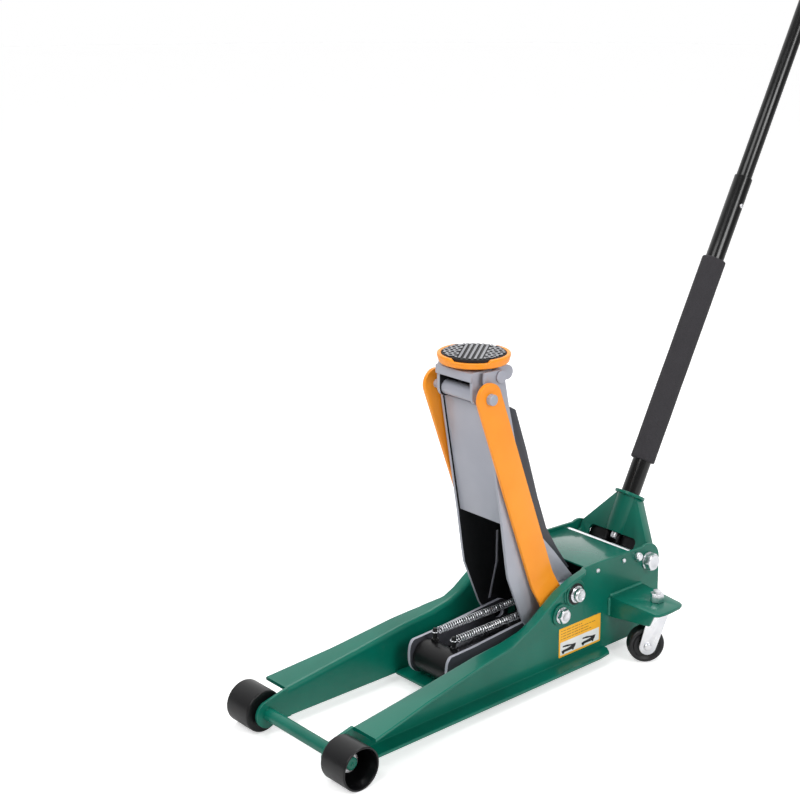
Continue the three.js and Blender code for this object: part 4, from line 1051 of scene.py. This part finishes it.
bm = tube_row([(0, 44), (15, 44), (15, 640), (13.1, 640), (13.1, 50), (0, 50)], segments=72)
square_drive = Matrix.Translation((0, 0, 34.5)) @ Matrix.Diagonal((12, 12, 21, 1))
bmesh.ops.create_cube(bm, size=1, matrix=square_drive)
stand_for("handle_lower_tube", bm, matrix=HANDLE_LEAN, finish=TUBE_BLACK)
bm = tube_row([(10.9, 560), (12.8, 560), (12.8, 1232), (10.9, 1232), (10.9, 560)], segments=72)
stand_for("handle_upper_tube", bm, matrix=HANDLE_LEAN, finish=TUBE_BLACK)
bm = tube_row([(0, 1216), (10.6, 1216), (10.6, 1232.3), (12.8, 1232.3), (12.8, 1238), (10.8, 1240), (0, 1240)],
              segments=48, radius=1.2)
stand_for("end_cap", bm, matrix=HANDLE_LEAN)
bm = bmesh.new()
turned(bm, [(0, 8), (3.7, 8), (3.7, 16), (3.3, 17), (2, 17.4), (0, 17.4)],
       at=(0, 0, 591), side=-1, segments=32, radius=0.5)
stand_for("snap_button", bm, matrix=HANDLE_LEAN)


def foam_grip():
    """A foam sleeve: eased ends and a slightly uneven skin."""
    bm = bmesh.new()
    rows = []
    low, high = 146.0, 495.0
    stations = [low + d for d in (0, 0.3, 0.9, 1.8, 3)] + [low + 3 + k * 3.5 for k in range(1, 98)]
    stations += [high - d for d in (3, 1.8, 0.9, 0.3, 0)]
    for s in stations:
        end = min(s - low, high - s)
        ease = 2.4 * (1 - math.sqrt(max(1 - (1 - min(end / 3, 1)) ** 2, 0)))
        ring = []
        for k in range(72):
            a = 2 * math.pi * k / 72
            direction = Vector((math.cos(a), math.sin(a), 0))
            uneven = noise.noise(Vector((direction.x * 1.6, direction.y * 1.6, s * 0.02))) * 0.28
            uneven += noise.noise(Vector((direction.x * 9, direction.y * 9, s * 0.35))) * 0.09
            ring.append(direction * (19.7 - ease + uneven) + Vector((0, 0, s)))
        rows.append(ring)
    inner = [[Vector((15.3 * math.cos(2 * math.pi * k / 72), 15.3 * math.sin(2 * math.pi * k / 72), s))
              for k in range(72)] for s in (high, low)]
    grid_mesh(bm, rows + inner, close_rows=True, close_columns=True)
    grip = stand_for("foam_grip", bm, matrix=HANDLE_LEAN, crease=50)


foam_grip()

# ---------- label ----------
def prism(bm, points, y0, y1, side):
    """A flat outline in X and Z, made solid between two distances from the middle."""
    rings = [[bm.verts.new((x, y * side, z)) for x, z in points] for y in (y0, y1)]
    count = len(points)
    for k in range(count):
        bm.faces.new((rings[0][k], rings[0][(k + 1) % count], rings[1][(k + 1) % count], rings[1][k]))
    bm.faces.new(rings[0])
    bm.faces.new(rings[1])


def rounded_box(x0, x1, z0, z1, r):
    points = []
    for cx, cz, start in ((x1 - r, z1 - r, 0), (x0 + r, z1 - r, 90), (x0 + r, z0 + r, 180), (x1 - r, z0 + r, 270)):
        points += [(cx + r * math.cos(rad(start + a)), cz + r * math.sin(rad(start + a))) for a in (0, 30, 60, 90)]
    return points


LABEL = (425.8, 517.5, 28.3, 74.0)
LINE_START = 0.05
LINE_PITCH = 4.3
LINE_LENGTHS = (0.5, 0.82, 0.66, 0.74)
PICTOGRAM_BODY = [(0, 0), (26, 0), (29, 3), (31, 7.5), (25, 8), (20, 5.6), (12, 4.4), (4, 4), (0, 3)]
PICTOGRAM_ARM = [(22, 6), (25.4, 7.4), (11.2, 10.4), (2.4, 10.6), (1.4, 8.6)]

for name, side in SIDES:
    x0, x1, z0, z1 = LABEL
    bm = bmesh.new()
    prism(bm, rounded_box(x0, x1, z0, z1, 1.2), 75.05, 75.3, side)
    finished(f"label_base_{name}", bm, "frame", "cover_green", finish=AMBER)
    bm = bmesh.new()
    prism(bm, rounded_box(x0 + 3, x1 - 3, z0 + 3, z0 + 23.5, 0.6), 75.3, 75.38, side)
    finished(f"label_field_{name}", bm, "frame", "cover_green", finish=PAPER)
    bm = bmesh.new()
    for k, share in enumerate(LINE_LENGTHS):
        z = z1 - 4.6 - k * LINE_PITCH
        x, right = x0 + (x1 - x0) * LINE_START, x0 + (x1 - x0) * (LINE_START + share)
        step = 0
        while x < right:
            word = 3 + (step * 7 % 5) * 1.6
            end = min(x + word, right)
            prism(bm, [(x, z - 0.55), (end, z - 0.55), (end, z + 0.55), (x, z + 0.55)], 75.3, 75.36, side)
            x += word + 1.5
            step += 1
    finished(f"label_lines_{name}", bm, "frame", "cover_green", finish=LABEL_INK_SOFT)
    bm = bmesh.new()
    for at in (x0 + 6.5, x0 + 50):
        for shape in (PICTOGRAM_BODY, PICTOGRAM_ARM):
            prism(bm, [(at + x, z0 + 6.4 + z) for x, z in shape], 75.36, 75.44, side)
        for cx, r in ((3.4, 2.1), (24.6, 1.8)):
            ring = [(at + cx + r * math.cos(rad(a)), z0 + 6.2 + r * math.sin(rad(a))) for a in range(0, 360, 20)]
            prism(bm, ring, 75.36, 75.44, side)
    finished(f"label_pictograms_{name}", bm, "frame", "cover_green", finish=LABEL_INK)

# ---------- floor and light ----------
FLOOR, floor_tree, floor_shader = new_finish("studio floor")
floor_shader.inputs["Base Color"].default_value = (0.86, 0.86, 0.86, 1)
floor_shader.inputs["Roughness"].default_value = 0.75
floor_shader.inputs["Emission Color"].default_value = (1, 1, 1, 1)
floor_seen = node(floor_tree, "ShaderNodeLightPath").outputs["Is Camera Ray"]
floor_tree.links.new(maths(floor_tree, "MULTIPLY", floor_seen, 0.5), floor_shader.inputs["Emission Strength"])
bm = bmesh.new()
bmesh.ops.create_circle(bm, cap_ends=True, radius=14, segments=96)
floor_mesh = bpy.data.meshes.new("studio_floor")
bm.to_mesh(floor_mesh)
bm.free()
floor_mesh.materials.append(FLOOR)
floor = bpy.data.objects.new("studio_floor", floor_mesh)
bpy.context.scene.collection.objects.link(floor)

world = bpy.data.worlds.new("studio")
bpy.context.scene.world = world
world.use_nodes = True
sky = world.node_tree
backdrop = node(sky, "ShaderNodeVectorMath", operation="DOT_PRODUCT",
                links=[(0, node(sky, "ShaderNodeTexCoord").outputs["Generated"])])
backdrop.inputs[1].default_value = (-away.x, -away.y, 0.25)
glow = between(sky, ramp(sky, backdrop.outputs["Value"], -0.1, 0.8), 0.22, 1.0)
seen = node(sky, "ShaderNodeLightPath").outputs["Is Camera Ray"]
sky.nodes["Background"].inputs["Color"].default_value = (1, 1, 1, 1)
sky.links.new(maths(sky, "MAXIMUM", glow, seen), sky.nodes["Background"].inputs["Strength"])


def softbox(name, at, aim, size, power):
    light = bpy.data.lights.new(name, "AREA")
    light.shape = "RECTANGLE"
    light.size, light.size_y = size
    light.energy = power
    lamp = bpy.data.objects.new(name, light)
    lamp.location = at
    lamp.rotation_mode = "QUATERNION"
    lamp.rotation_quaternion = (Vector(aim) - Vector(at)).to_track_quat("-Z", "Y")
    bpy.context.scene.collection.objects.link(lamp)


softbox("key_light", (-2.3, -0.3, 2.2), (-0.1, 0, 0.2), (1.6, 1.6), 40)
softbox("front_light", (-0.2, -2.6, 1.8), (-0.1, 0, 0.2), (1.2, 1.2), 40)
softbox("top_light", (0.5, 0.5, 2.6), (0.0, 0, 0.2), (1.4, 1.4), 18)
